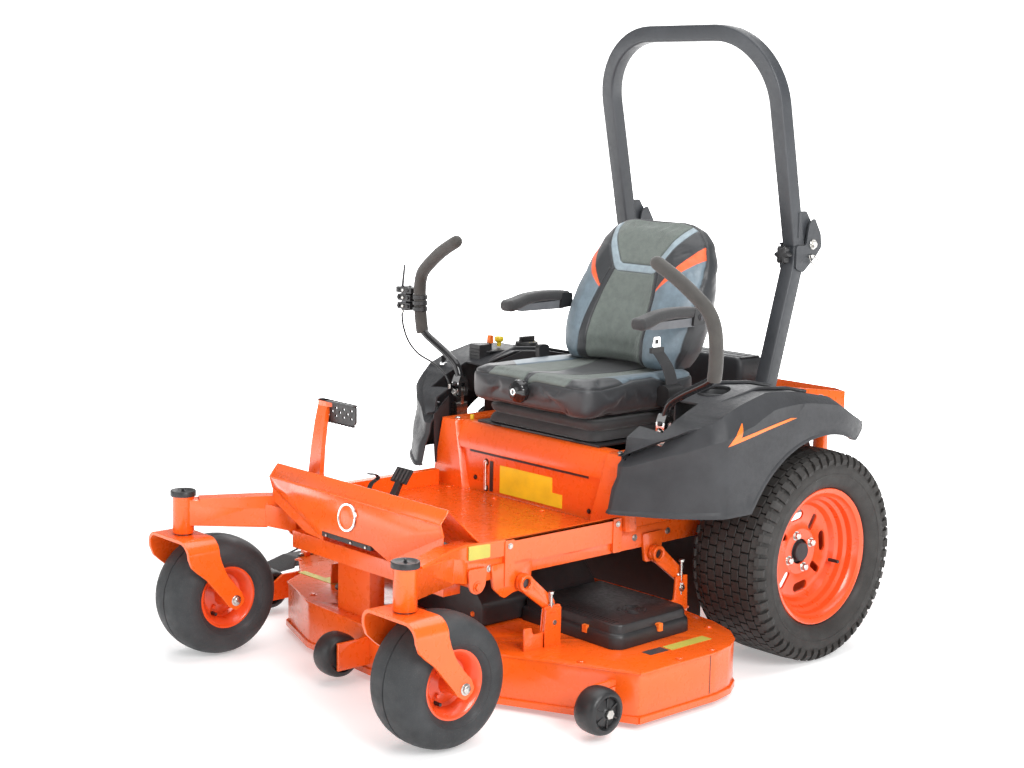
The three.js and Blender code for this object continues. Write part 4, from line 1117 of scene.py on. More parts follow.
def lever(half, s):
    """Steering lever: slotted clevis, bent rod and foam grip, on its pivot block."""
    def place(part):
        return on_side(moved(part, *LEVER), s)

    cheek = [(-19, -14), (19, -14), (19, 29), (10, 49), (-10, 49), (-19, 29)]
    head = piece("clevis_" + half, None, [(place(slab("yz", cheek, -15, 15, 4)), CHROME)],
                 angle=30)
    carve(head, [place(slab("yz", ((-6.6, -22), (6.6, -22), (6.6, 26), (-6.6, 26)), -16, 16))])
    own(head, "lever_" + half)
    parts = [(place(tube(ROD_PATH, 12, 20, 8, side=(0, 1, 0))), GLOSS)]
    for end in (-1, 1):
        parts += [(place(moved(p, 0, end * 19, 0)), ZINC) for p in bolt((0, 0, 0), "y", 9.5, end * 7)]
        low, high = sorted((0, end * 5))
        parts.append((place(moved(rod("y", (0, 0, 24), 7, low, high, 20), 0, end * 19, 0)), BLACK))
    grip = sweep(smooth_path(GRIP_PATH, 12), ring_section(19, 28), side=(0, 1, 0), scale=grip_scale)
    parts.append((place(grip), GRIP))
    piece("steering_lever_" + half, "lever_" + half, parts, ["lever_" + half])
    block = ((-13, -15), (15, -15), (15, 40), (11, 56), (-11, 56), (-13, 40))
    base = [(on_side(moved(slab("xz", block, -21, 21, 5), 420, -420, 572), s), ZINC)]
    tang = ((407, 620), (433, 620), (433, 664), (425, 672), (415, 672), (407, 664))
    base.append((on_side(slab("xz", tang, -425, -415, 3), s), ZINC))
    base += coated(bolt((436, -420, 572), "x", 9, 7), ZINC, s)
    piece("lever_pivot_" + half, "lever_base_" + half, base, ["lever_base_" + half], bevel=1.0)


def cable_clamp():
    """Switch clamp on the right lever with its two blades, and the cable below it."""
    def place(part):
        return mirrored(moved(part, *LEVER))

    parts = [(place(box(206, 268, -30, 2, 226, 246)), BLACK),
             (place(box(206, 268, -30, 2, 252, 272)), BLACK),
             (place(box(200, 272, -32, 4, 276, 294)), BLACK),
             (place(box(228, 250, -28, 0, 222, 296)), DARK_STEEL)]
    for z in (236, 262, 285):
        for x in (216, 238, 260):
            parts.append((place(rod("y", (x, -31, z), 5, -4, 2, 16)), ZINC if x == 238 else BLACK))
    for z in (232, 250, 268):
        ring = [(19.5, -7), (23, -6), (23, 6), (19.5, 7), (19.5, -7)]
        parts.append((place(lathe("z", (179, -11, z), ring, 28)), BLACK))
    parts.append((place(slab("xz", ((252, 290), (262, 290), (250, 362), (244, 360)), -20, -17)), BLACK))
    parts.append((place(slab("xz", ((232, 290), (240, 290), (214, 392), (209, 390)), -8, -6.5)), ZINC))
    piece("cable_clamp", "lever_right", parts, [], bevel=0.8)
    cable = tube(CABLE_PATH, 3, 12, 6, side=(0, 1, 0))
    ends = [(place(cable), BLACK)]
    ends.append((place(rod("z", (260, -14, 0), 5, 212, 224, 16)), ZINC))
    ends.append((place(rod("z", (24, -22, 0), 4.6, 6, 20, 16)), ZINC))
    piece("cable", "lever_right", ends, ["control_cable"])


# ---- seat --------------------------------------------------------------------------
FABRIC = (0.115, 0.135, 0.122, 1.0)
SLATE = (0.125, 0.168, 0.2, 0.0)
PALE = (0.24, 0.3, 0.335, 0.0)
LEATHER = (0.022, 0.024, 0.027, 0.0)
SLASH = (0.85, 0.11, 0.03, 0.0)
SEAM = (0.008, 0.008, 0.009, 0.0)
EDGE_BLEND = 1.6
SEAT_KNOB = (0, 0, 728)
BACK_HALF = ((778, 214), (830, 240), (890, 251), (980, 249), (1070, 233), (1130, 210), (1165, 182),
             (1184, 146), (1192, 110))
BACK_FRONT = ((778, -236), (800, -244), (860, -229), (930, -200), (1000, -162), (1070, -121),
              (1130, -82), (1168, -53), (1192, -34))
BACK_REAR = ((778, -30), (800, -16), (950, 29), (1070, 46), (1130, 42), (1165, 28), (1184, 10),
             (1192, -4))
BACK_DISH = ((778, 52), (850, 56), (950, 46), (1060, 26), (1130, 14), (1192, 6))


def super_ring(n, power):
    """Unit outline between a circle and a square."""
    out = []
    for i in range(n):
        t = 2 * math.pi * i / n
        c, s = math.cos(t), math.sin(t)
        out.append((math.copysign(abs(c) ** (2 / power), c), math.copysign(abs(s) ** (2 / power), s)))
    return out


def backrest_form():
    rings = []
    for k in range(44):
        z = 777 + (1193 - 777) * (0.5 - 0.5 * math.cos(math.pi * k / 43))
        half = reading(BACK_HALF, z) - 3
        front, rear = reading(BACK_FRONT, z) + 3, reading(BACK_REAR, z) - 3
        middle, depth = (front + rear) / 2, (rear - front) / 2
        squeeze = 1 - 0.10 * max(0, (800 - z) / 22) - 0.35 * max(0, (z - 1165) / 27)
        ring = []
        for u, v in super_ring(72, 3.0):
            x = half * u
            y = middle + depth * v * squeeze
            if v < 0:
                y += reading(BACK_DISH, z) * math.exp(-((x / (0.52 * half)) ** 4)) * min(1, -v * 1.6)
            ring.append((x, y, z))
        rings.append(ring)
    return loft(rings)


def cushion_top(x, y):
    """Height of the cushion's top: thigh pads, a valley between them, rising bolsters."""
    a = abs(x)
    back = (y + 541) / 440
    z = 770 + 5 * math.exp(-(((y + 490) / 60) ** 2)) - 13 * math.sin(math.pi * min(1, max(0, back)))
    z -= 11 * math.exp(-((a / 26) ** 2)) * max(0, 1 - back * 1.6)
    hump = min(1, max(0, (y + 480) / 130)) * min(1, max(0.3, (-205 - y) / 60))
    z += 27 * min(1, max(0, (a - 128) / 62)) ** 1.4 * hump
    return z


def cushion_form():
    plan = rounded(((-246, -551), (246, -551), (246, -86), (-246, -86)), 60, 7)
    rings = []
    for height, inset in ((0.0, 10), (0.05, 4), (0.2, 1), (0.45, 0), (0.75, 0), (0.9, 2), (0.97, 6),
                          (1.0, 14)):
        ring = []
        for x, y in plan:
            fx, fy = 1 - inset / 246, 1 - inset / 232
            px, py = x * fx, -318 + (y + 318) * fy
            ring.append((px, py, 682 + (cushion_top(px, py) - 2 - 682) * height))
        rings.append(ring)
    for inner in (0.86, 0.72, 0.56, 0.4, 0.24, 0.08):
        ring = []
        for x, y in plan:
            px, py = x * inner * 0.9, -318 + (y + 318) * inner * 0.9
            ring.append((px, py, cushion_top(px, py) - 2))
        rings.append(ring)
    return loft(rings)


def stuffed(obj, voxel, cap):
    """Remeshes the form and lets cloth pressure swell it, no point moving further than the cap."""
    remesh = obj.modifiers.new("remesh", "REMESH")
    remesh.mode = "VOXEL"
    remesh.voxel_size = voxel * MM
    relax = obj.modifiers.new("relax", "SMOOTH")
    relax.iterations = 8
    applied(obj)
    swell(obj, cap)
    settle = obj.modifiers.new("settle", "SMOOTH")
    settle.iterations = 3
    fine = obj.modifiers.new("fine", "SUBSURF")
    fine.levels = 1
    fine.render_levels = 1
    applied(obj)
    for f in obj.data.polygons:
        f.use_smooth = True


def swell(obj, cap):
    rest = [v.co.copy() for v in obj.data.vertices]
    cloth = obj.modifiers.new("cloth", "CLOTH")
    cloth.settings.use_pressure = True
    cloth.settings.uniform_pressure_force = 4
    cloth.settings.effector_weights.gravity = 0
    cloth.point_cache.frame_start = 1
    cloth.point_cache.frame_end = 20
    scene = bpy.context.scene
    for frame in range(1, 21):
        scene.frame_set(frame)
    evaluated = obj.evaluated_get(bpy.context.evaluated_depsgraph_get())
    blown = [v.co.copy() for v in evaluated.data.vertices]
    obj.modifiers.clear()
    scene.frame_set(1)
    for v, start, end in zip(obj.data.vertices, rest, blown):
        move = end - start
        if move.length > cap * MM:
            move *= cap * MM / move.length
        v.co = start + move


def blend4(a, b, t):
    return tuple(p + (q - p) * t for p, q in zip(a, b))


def over(distance):
    """1 well inside (positive distance), 0 outside, blended over EDGE_BLEND mm."""
    return min(1.0, max(0.0, 0.5 + distance / EDGE_BLEND))


def sewn(obj, pattern, depth):
    """Colours every point by its panel and pulls the seams in."""
    mesh = obj.data
    tint = mesh.color_attributes.new("panel", "FLOAT_COLOR", "POINT")
    normals = [v.normal.copy() for v in mesh.vertices]
    for i, v in enumerate(mesh.vertices):
        p = (v.co - ORIGIN) / MM
        colour, seam = pattern(p, normals[i])
        pull = math.exp(-((seam / 3.2) ** 2))
        colour = blend4(colour, SEAM, 0.85 * math.exp(-((seam / 1.5) ** 2)))
        tint.data[i].color = colour
        v.co -= normals[i] * (depth * pull * MM)


def back_pattern(p, normal):
    a, z = abs(p.x), p.z
    half = reading(BACK_HALF, z)
    centre = reading(((780, 108), (900, 107), (980, 97), (1040, 82)), z)
    strip = centre + reading(((780, 24), (1040, 15)), z)
    outer = reading(((1036, 62), (1042, 78), (1052, 88), (1100, 118), (1175, 166)), z)
    inner = reading(((1060, 56), (1066, 68), (1100, 92), (1175, 138)), z)
    rim = half * 0.9 - a
    side = reading(BACK_FRONT, z) + 0.42 * (reading(BACK_REAR, z) - reading(BACK_FRONT, z)) - p.y
    facing = min(rim * 1.2 + 16, side, 1186 - z)
    slash_at = 1098 - (206 - a) * 1.15
    slash = 2 + 0.15 * max(0, a - 110)
    colour = SLATE
    seams = [abs(facing)]
    colour = blend4(colour, LEATHER, over(z - slash_at))
    colour = blend4(colour, SLASH, over(min(slash - abs(z - slash_at - 2) * 0.66, a - 112)))
    colour = blend4(colour, LEATHER, over(strip - a))
    colour = blend4(colour, FABRIC, over(min(centre - a, 1040 - z)))
    if z < 1042:
        seams += [abs(a - centre), abs(a - strip)]
    head = min(outer - a, z - 1038)
    colour = blend4(colour, PALE, over(head))
    colour = blend4(colour, FABRIC, over(min(inner - a, z - 1061)))
    if z > 1030:
        seams += [abs(head), abs(min(inner - a, z - 1061))]
    colour = blend4(LEATHER, colour, over(facing))
    if facing < -4 or normal.y > 0.3:
        seams = [abs(facing)]
    return colour, min(seams)


def cushion_pattern(p, _):
    a = abs(p.x)
    top = min(p.z - (cushion_top(p.x, p.y) - 15), p.y + 546)
    valley = 8 + 0.24 * max(0, p.y + 535)
    bolster = 158 - a
    colour = blend4(FABRIC, LEATHER, over(valley - a))
    colour = blend4(SLATE, colour, over(bolster))
    colour = blend4(colour, LEATHER, over(-430 - p.y + (a - 158) * 0.6) if a > 158 else 0)
    colour = blend4(LEATHER, colour, over(top))
    seams = [abs(top)]
    if top > 0:
        seams += [abs(a - valley), abs(bolster)]
    else:
        seams.append(max(abs(p.x - 170), abs(p.y + 541)) if p.y < -520 else 99)
    return colour, min(seams)


def seat_cushions():
    back = piece("seat_back", None, [(backrest_form(), COVER)], weld=False, angle=32)
    stuffed(back, 5, 8)
    sewn(back, back_pattern, 3.0)
    own(back, "backrest", ["backrest"])
    base = piece("seat_pad", None, [(cushion_form(), COVER)], weld=False, angle=32)
    stuffed(base, 5, 8)
    sewn(base, cushion_pattern, 3.0)
    own(base, "seat", ["seat_cushion"])


def seat_shells():
    """Plastic pan under the cushion, knob and suspension cover."""
    pan = []
    plan = rounded(((-222, -531), (222, -531), (222, -95), (-222, -95)), 50, 6)
    for z, grow in ((679, -6), (681, 0), (688, 4), (690, 2)):
        pan.append([(x * (1 + grow / 222), -313 + (y + 313) * (1 + grow / 218), z) for x, y in plan])
    piece("seat_pan", "seat", [(loft(pan), BLACK)])
    knob = [(rod("y", SEAT_KNOB, 9, -551, -538, 24), BLACK)]
    profile = [(0, -586), (13, -586), (15, -585), (27, -579), (31.5, -572), (33, -562), (32, -554),
               (27, -550.5), (0, -550.5)]
    lobed = lathe("y", SEAT_KNOB, profile, 72)
    fluted = []
    for x, y, z in lobed[0]:
        r = math.hypot(x, z - SEAT_KNOB[2])
        k = 1 - (0.045 * (0.5 + 0.5 * math.cos(12 * math.atan2(z - SEAT_KNOB[2], x))) if r > 24 else 0)
        fluted.append((x * k, y, SEAT_KNOB[2] + (z - SEAT_KNOB[2]) * k))
    knob.append(((fluted, lobed[1]), GLOSS))
    ring = [(4, -585), (4, -587), (5, -587.5), (9, -587.5), (10, -586.5), (10, -585), (4, -585)]
    knob.append((lathe("y", SEAT_KNOB, ring, 40), CHROME))
    piece("seat_front_knob", "seat_knob", knob, ["seat_knob"], angle=35)
    seat_boot()


def seat_boot():
    """Pleated cover of the suspension, with its scalloped lower edge."""
    plan = rounded(((-226, -487), (226, -487), (226, -79), (-226, -79)), 44, 8)
    levels = ((607, -2), (609, 1), (618, 0), (628, -5), (634, -13), (640, -5), (650, -1), (658, -2),
              (662, -8), (663, -16))
    rings = []
    for z, grow in levels:
        ring = []
        for x, y in plan:
            wave = 3.0 * math.cos(x / 38) + 2.0 * math.cos(y / 30)
            drop = wave * max(0, (640 - z) / 34)
            ring.append((x * (1 + grow / 226), -283 + (y + 283) * (1 + grow / 204), z + max(0, drop)))
        rings.append(ring)
    boot = piece("suspension_boot", "seat_platform", [(loft(rings), SOFT)],
                 ["seat_boot"], weld=False, angle=50)
    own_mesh(boot)


ARM_LINE = ((267, -384, 928), (267, -362, 930), (267, -336, 936), (267, -300, 946), (267, -250, 951),
            (267, -200, 951), (267, -160, 949), (267, -140, 947))


def arm_scale(t):
    """Round the front of the armrest over and thin it a little towards the back."""
    if t < 0.08:
        return 0.55 + 0.45 * math.sqrt(min(1, t / 0.08))
    return 1.0 - 0.12 * min(1, max(0, t - 0.2) / 0.3)


def armrest(half, s):
    pad = []
    line = smooth_path(ARM_LINE, 8)
    section = square_section(26, 17, 13, 6)
    pad.append((on_side(sweep(line, section, side=(1, 0, 0), scale=arm_scale), s), SOFT))
    plate_under = [(-345, 914), (-330, 911), (-160, 910), (-132, 918), (-132, 936), (-300, 932),
                   (-345, 920)]
    for x in (252, 278):
        pad.append((on_side(slab("yz", plate_under, x, x + 4, 4), s), PALE_PLATE))
    pad.append((on_side(slab("yz", ((-176, 912), (-129, 916), (-129, 956), (-170, 960)), 243, 291, 6),
                        s), BLACK))
    pad += coated(bolt((291, -146, 936), "x", 7, 4), DARK_STEEL, s)
    rest = piece("arm_pad_" + half, "armrest_" + half, pad, ["armrest_" + half])


def seat_belt():
    """Retractor on the left of the cushion with its strap and tongue; buckle on the right."""
    case = slab("xz", ((241, 688), (282, 694), (290, 712), (284, 742), (262, 752), (241, 744)), -262,
                -196, 8)
    parts = [(case, BLACK)]
    strap = []
    path = smooth_path(((262, -226, 748), (256, -226, 772), (247, -230, 798), (236, -240, 822),
                        (225, -252, 844)), 6)
    for p in path:
        strap.append([(p.x - 1, p.y - 23, p.z), (p.x - 1, p.y + 23, p.z), (p.x + 1, p.y + 23, p.z),
                      (p.x + 1, p.y - 23, p.z)])
    parts.append((loft(strap), WEBBING))
    parts.append((slab("yz", ((-278, 836), (-226, 836), (-226, 852), (-278, 852)), 221, 229, 3), BLACK))
    tongue = slab("yz", ((-268, 852), (-236, 852), (-239, 882), (-265, 882)), 222.5, 225, 4)
    parts.append((tongue, CHROME))
    parts.append((box(222.2, 225.4, -259, -246, 862, 874), BLACK))
    parts += coated(bolt((286, -214, 716), "x", 8, 5), ZINC)
    buckle = slab("yz", ((-262, 742), (-226, 742), (-222, 800), (-232, 808), (-258, 808), (-266, 800)),
                  -256, -240, 6)
    parts.append((buckle, BLACK))
    parts.append((slab("yz", ((-256, 690), (-232, 690), (-232, 745), (-256, 745)), -250, -246),
                  DARK_STEEL))
    piece("seat_belt", "seat", parts, bevel=0.6)


# ---- frame -------------------------------------------------------------------------
ARM_PIVOT_Z = 323
BAND_TOP = 437


def barrel_cap(half, s):
    """Dished black cap with a grease nipple over the caster spindle."""
    cap = [(0, 465.2), (24, 465.2), (28, 467.5), (33.5, 467.5), (34.5, 466), (34.5, 453.4), (31, 453),
           (0, 453)]
    nipple = [(0, 465), (5, 465), (5, 467), (3, 468), (3, 470), (4, 471), (2.5, 473), (0, 473)]
    parts = [(lathe("z", (s * CASTER_X, CASTER_Y, 0), cap, 48), BLACK),
             (lathe("z", (s * CASTER_X, CASTER_Y, 0), nipple, 20), DARK_STEEL)]
    piece("caster_cap_" + half, "root", parts)


RAIL_SADDLE = (
    ((371, -952), (386, -952), 398, 438), ((365, -1036), (380, -1036), 398, 440),
    ((330, -1066), (380, -1074), 398, 443), ((361, -1161), (407, -1143), 412, 447),
    ((438.5, -1322), (483.5, -1300), 425, 447),
)


def rail_details(half, s):
    """Pivot rings, ears, bolts, the raised side band with its braces and the saddle in front."""
    parts = []
    for y in (-900, -415):
        ring = [(13, 403), (13, 411), (15, 412.5), (21, 412.5), (22.5, 411), (22.5, 403), (13, 403)]
        parts.append((on_side(lathe("x", (0, y, ARM_PIVOT_Z), ring, 40), s), ORANGE))
        parts.append((on_side(rod("x", (0, y, ARM_PIVOT_Z), 12.6, 400, 404, 32), s), DARK_STEEL))
    ear = ((-1076, 380), (-1014, 380), (-1018, 334), (-1030, 318), (-1046, 314), (-1062, 320),
           (-1070, 334))
    parts.append((on_side(slab("yz", ear, 381, 387, 10), s), ORANGE))
    parts += coated(bolt((387, -1044, 333), "x", 11, 7), ORANGE, s)
    parts.append((on_side(rod("x", (0, -1044, 333), 8, 300, 386, 20), s), ORANGE))
    for y, z in ((-1000, 372), (-480, 372), (-350, 372), (-620, 384)):
        parts += coated(bolt((378, y, z), "x", 7, 5), ZINC if y != -620 else ORANGE, s)
    band = ((-952, 372), (-952, BAND_TOP), (-545, BAND_TOP), (-545, 372))
    parts.append((on_side(slab("yz", band, 378.2, 386, 5), s), ORANGE))
    parts.append((on_side(box(370, 386, -952, -545, 432, BAND_TOP), s), ORANGE))
    rings = []
    for (x0, y0), (x1, y1), low, top in RAIL_SADDLE:
        rings.append([(x0, y0, low), (x1, y1, low), (x1, y1, top - 4), (x1 - 4, y1, top),
                      (x0, y0, top)])
    parts.append((on_side(loft(rings), s), ORANGE))
    for y, low in ((-940, 318), (-556, 345)):
        outline = ((y - 16, low), (y + 16, low), (y + 16, BAND_TOP), (y - 16, BAND_TOP))
        brace = slab("yz", outline, 378, 389, 6)
        parts.append((on_side(brace, s), ORANGE))
        parts += coated(bolt((389, y, 422), "x", 6, 4), ZINC, s)
    piece("rail_details_" + half, "root", parts, bevel=0.8)


def lift_arm_details(end, y, half, s):
    """Bolt at the arm's lower end and washer at its pivot."""
    parts = coated(bolt((402, y + 94, 244), "x", 9, 7), ZINC, s)
    ring = [(9.5, 401), (9.5, 402.6), (19, 402.6), (19, 401), (9.5, 401)]
    parts.append((on_side(lathe("x", (0, y, ARM_PIVOT_Z), ring, 36), s), ORANGE))
    piece("lift_pin_" + end + "_" + half, "lift_arm_" + end + "_" + half, parts)


def on_face(u, v, lift):
    """A place on the front shield: u across, v from its foot 0 to its fold 1, lift off it."""
    foot, fold = Vector((0, -1159, 398)), Vector((0, -1148, 500))
    along_face = fold - foot
    out = Vector((0, -along_face.z, along_face.y)).normalized()
    p = foot + along_face * v + out * lift
    return Vector((u, p.y, p.z)), out


def shield():
    """Chrome ring with an orange centre, the slot below it drawn as a black block of painted shade with
    bolts on it, rolled edges and side skirts.
    """
    centre, out = on_face(0, 0.54, 3.2)
    side = Vector((1, 0, 0))
    up = out.cross(side)
    rings = []
    dome = ((0.1, 6.4), (16, 6.2), (27, 5.0), (31, 3.0), (32, 1.9), (33.5, 1.9), (34.5, 3.4),
            (36.5, 3.4), (38, 1.4), (38, -3.4))
    for r, h in dome:
        ring = []
        for k in range(56):
            t = 2 * math.pi * k / 56
            ring.append(tuple(centre + side * (r * math.cos(t)) + up * (r * math.sin(t)) + out * h))
        rings.append(ring)
    parts = [(loft(rings[3:]), CHROME), (loft(rings[:4]), ORANGE)]
    # painted shade: a black block fills the slot under the shield where only shadow shows
    parts.append((box(-104, 104, -1160, -1150, 386, 398), BLACK))
    for x in (-84, 22, 84):
        parts += coated(bolt((x, -1160, 391), "y", 4, -3), ZINC)
    piece("shield_disc", "root", parts)
    edge = []
    for s in (-1, 1):
        path = [Vector((s * 361, -1121, 531)), Vector((s * 361, -1147, 500)),
                Vector((s * 361, -1137, 468))]
        edge.append((sweep(path, ring_section(2.6, 12), side=(1, 0, 0)), ORANGE))
        skirt = ((140, -1133, 364), (362, -1138, 468), (362, -1138, 434), (215, -1134, 370))
        edge.append((on_side(loft([skirt, [(x, y + 3, z) for x, y, z in skirt]]), s), ORANGE))
    edge.append((rod("x", (0, -1121, 531), 2.8, -362, 362, 16), ORANGE))
    edge.append((rod("x", (0, -1147, 500), 2.8, -362, 362, 16), ORANGE))
    edge.append((slab("yz", ((-1072, 403), (-1002, 402), (-1002, 436), (-1072, 439)), 380.2, 384.4, 3),
                 CREAM))
    edge.append((box(-371, -345, -970, -560, 404, 450), ORANGE))
    edge.append((box(345, 371, -980, -560, 404, 409), ORANGE))
    piece("shield_edge", "root", edge, bevel=1.6)


def floor_marks():
    """Screws in the foot platform."""
    parts = []
    for y in (-930, -560):
        for x in (-300, -100, 100, 300):
            parts += coated(bolt((x, y, 405), "z", 6, 2.6), ORANGE)
    piece("floor_screws", "root", parts, bevel=0.5)


def hook():
    """Flat spring catch beside the brake pedal."""
    path = [(-262, -880, 405), (-262, -884, 440), (-262, -874, 462), (-262, -852, 474),
            (-262, -862, 486), (-262, -884, 490)]
    strip = sweep(smooth_path(path, 5), square_section(9, 1.6, 1.2, 3), side=(1, 0, 0))
    parts = [(strip, BLACK), (box(-276, -248, -894, -866, 405, 409), BLACK)]
    parts += coated(bolt((-262, -874, 409), "z", 5, 4), ZINC)
    piece("pedal_catch", "root", parts, bevel=0.5)


PAD_PLACE = (-150, -856, 500)
PAD_TILT = -0.62


def brake_pedal():
    about = (-150, -930, 415)
    strap = [(-9, 4), (0, -9), (16, -6), (34, 6), (54, 34), (70, 66), (80, 88), (72, 93), (60, 72),
             (42, 42), (22, 14), (6, 8)]
    outline = [(about[1] + a, about[2] + b) for a, b in strap]
    parts = [(slab("yz", outline, -161, -139, 3), BLACK), (rod("x", about, 8, -16, 16, 24), BLACK)]
    pad = turned(box(-33, 33, -4, 3, -22, 22), PAD_TILT, "x")
    parts.append((moved(pad, *PAD_PLACE), BLACK))
    for x in (-22, -8, 8, 22):
        rib = turned(box(x - 3, x + 3, -6.5, -3, -18, 18), PAD_TILT, "x")
        parts.append((moved(rib, *PAD_PLACE), SOFT))
    piece("brake_foot_pedal", "brake_pedal", parts, ["brake_pedal"], bevel=0.8)


def lift_pedal():
    """Tapering arm with a folded flange and the black toothed tread."""
    rings = []
    stations = ((-1029, 370, 27, 6), (-1033, 420, 27, 6), (-1046, 480, 27, 6), (-1051, 512, 26, 5.5),
                (-1044, 584, 24, 5), (-1034, 650, 22, 5), (-1024, 698, 20, 5), (-1022, 710, 17, 4.5))
    for y, z, half, depth in stations:
        left, right = -283 - half, -283 + half
        front, back = y - depth, y + depth + 4
        rings.append([(left, front, z), (right, front, z), (right, back, z), (right - 5, back, z),
                      (right - 5, front + 5, z), (left + 5, front + 5, z), (left + 5, back, z),
                      (left, back, z)])
    parts = [(loft(rings), ORANGE), (rod("x", (-283, -1028, 374), 15, -30, 30, 28), ORANGE)]
    bracket = ((-303, -1030), (-264, -1030), (-240, -1012), (-303, -1012))
    parts.append((slab("xy", bracket, 694, 712, 3), ORANGE))
    piece("lift_pedal_arm", "lift_pedal", parts, ["lift_pedal"], bevel=1.4)
    face = [(-303, 658), (-296, 650), (-158, 654), (-146, 662), (-146, 706), (-156, 711), (-296, 712),
            (-303, 706)]
    plate = [(slab("xz", face, -1020, -1015, 5), BLACK)]
    tread = piece("lift_pedal_tread", None, plate)
    holes = []
    for k, x in enumerate(range(-284, -160, 17)):
        for z in ((672, 694) if k % 2 else (683,)):
            holes.append(rod("y", (x, -1017, z), 4.6, -9, 9, 16))
    carve(tread, holes)
    own(tread, "lift_pedal")
    teeth = []
    for z, y0 in ((710, -1026), (653, -1024)):
        for x in range(-292, -156, 15):
            tooth = ((y0, z - 2), (-1015, z - 2), (-1015, z + 2), (y0 + 3, z + 2))
            teeth.append((slab("yz", tooth, x - 4.5, x + 4.5), BLACK))
    lip = slab("yz", ((-1030, 708), (-1012, 708), (-1012, 712), (-1030, 712)), -303, -146, 0)
    teeth.append((lip, BLACK))
    teeth += coated(bolt((-270, -1020, 682), "y", 6, -4), ZINC)
    piece("lift_pedal_teeth", "lift_pedal", teeth, bevel=0.5)


def seat_box():
    """Folded box: flared front columns, recessed panel with its lip, top flanges."""
    parts = []
    for s in SIGNS:
        rings = []
        for z, inner, outer, front in ((400.6, 256, 410, -539), (590, 304, 380, -528),
                                       (597.5, 307, 378, -524)):
            column = [(inner, -514), (inner + 8, front), (outer - 8, front), (outer, front + 8),
                      (outer, -508),
                      (378, -490), (378, -71), (inner, -71)]
            rings.append([(s * x, y, z) for x, y in column])
        parts.append((loft(rings), ORANGE))
        for y in (-498, -340, -120):
            parts += coated(bolt((s * 335, y, 597.6), "z", 7, 5), ZINC if y == -498 else ORANGE)
        side_plate = ((-520, 430), (-470, 430), (-470, 596), (-520, 596))
        parts.append((on_side(slab("yz", side_plate, 378, 381, 4), s), ORANGE))
        parts.append((on_side(rod("x", (0, -420, 572), 9, 378, 404, 24), s), ZINC))
    lip = [(-516, 520), (-527, 523), (-527, 549), (-509, 592), (-500, 598), (-470, 598), (-470, 595),
           (-498, 595), (-506, 588), (-523, 548), (-523, 527), (-514, 524)]
    parts.append((slab("yz", lip, -302, 302, 0), ORANGE))
    parts.append((box(-292, 292, -517, -514, 401, 524), ORANGE))
    parts.append((box(-292, 292, -76, -71, 540, 594), ORANGE))
    parts.append((box(-255, 236, -519, -517.2, 514, 520), BLACK))
    piece("seat_box_shell", "root", parts, ["seat_box"], bevel=2.2, angle=35)
    trim = [(box(-167, -154, -519, -516.6, 410, 498), BLACK)]
    trim.append((rod("z", (-184, -521, 0), 5, 410, 498, 20), CHROME))
    for z in (416, 492):
        trim += coated(bolt((-184, -517, z), "y", 8, -5), ZINC)
    trim += coated(bolt((-231, -517, 440), "y", 6, -4), DARK_STEEL)
    trim += coated(bolt((240, -517, 424), "y", 6, -4), DARK_STEEL)
    label = ((-124, 412), (134, 412), (134, 450), (93, 450), (93, 492), (-124, 492))
    trim.append((slab("xz", label, -518.4, -517.0, 2), LABEL))
    trim.append((rod("z", (-292, -480, 0), 6, 598, 612, 16), YELLOW))
    piece("seat_box_trim", "root", trim)


def under_seat_shade_plate():
    """Black sheet between the transaxles and the deck: painted shade, standing in for the shadow and
    the dark drive parts seen through the gap under the seat.
    """
    parts = [(box(-300, 300, -120, -114, 70, 345), BLACK)]
    piece("under_seat_shade_plate", "root", parts, bevel=1.0)


# ---- cutting deck ------------------------------------------------------------------
DECK_TOP = 146
DECK_CORNER = ((716, -520), (702, -450), (668, -395), (615, -352), (531, -322), (440, -310),
               (398, -300), (385, -262))
DECK_EDGE = ((716, -800),) + DECK_CORNER + tuple((-x, y) for x, y in reversed(DECK_CORNER))
DECK_FRONT = ((-716, -800), (-560, -900), (-510, -985), (-300, -1062), (0, -1078), (150, -1064),
              (384, -967), (716, -800))


def flange(path, low, high, grow):
    """Strip standing a little proud along part of the deck's edge."""
    pts = [Vector((x, y, 0)) for x, y in path]
    outer, inner = [], []
    for i, p in enumerate(pts):
        ahead = (pts[min(i + 1, len(pts) - 1)] - pts[max(i - 1, 0)]).normalized()
        out = Vector((ahead.y, -ahead.x, 0))
        if out.dot(p - Vector((0, -680, 0))) < 0:
            out = -out
        outer.append(p + out * grow)
        inner.append(p - out * 1.0)
    rings = []
    for a, b in zip(outer, inner):
        rings.append([(b.x, b.y, low), (a.x, a.y, low), (a.x, a.y, high - 2),
                      (a.x - (a.x - b.x) * 0.4, a.y - (a.y - b.y) * 0.4, high), (b.x, b.y, high)])
    return loft(rings)


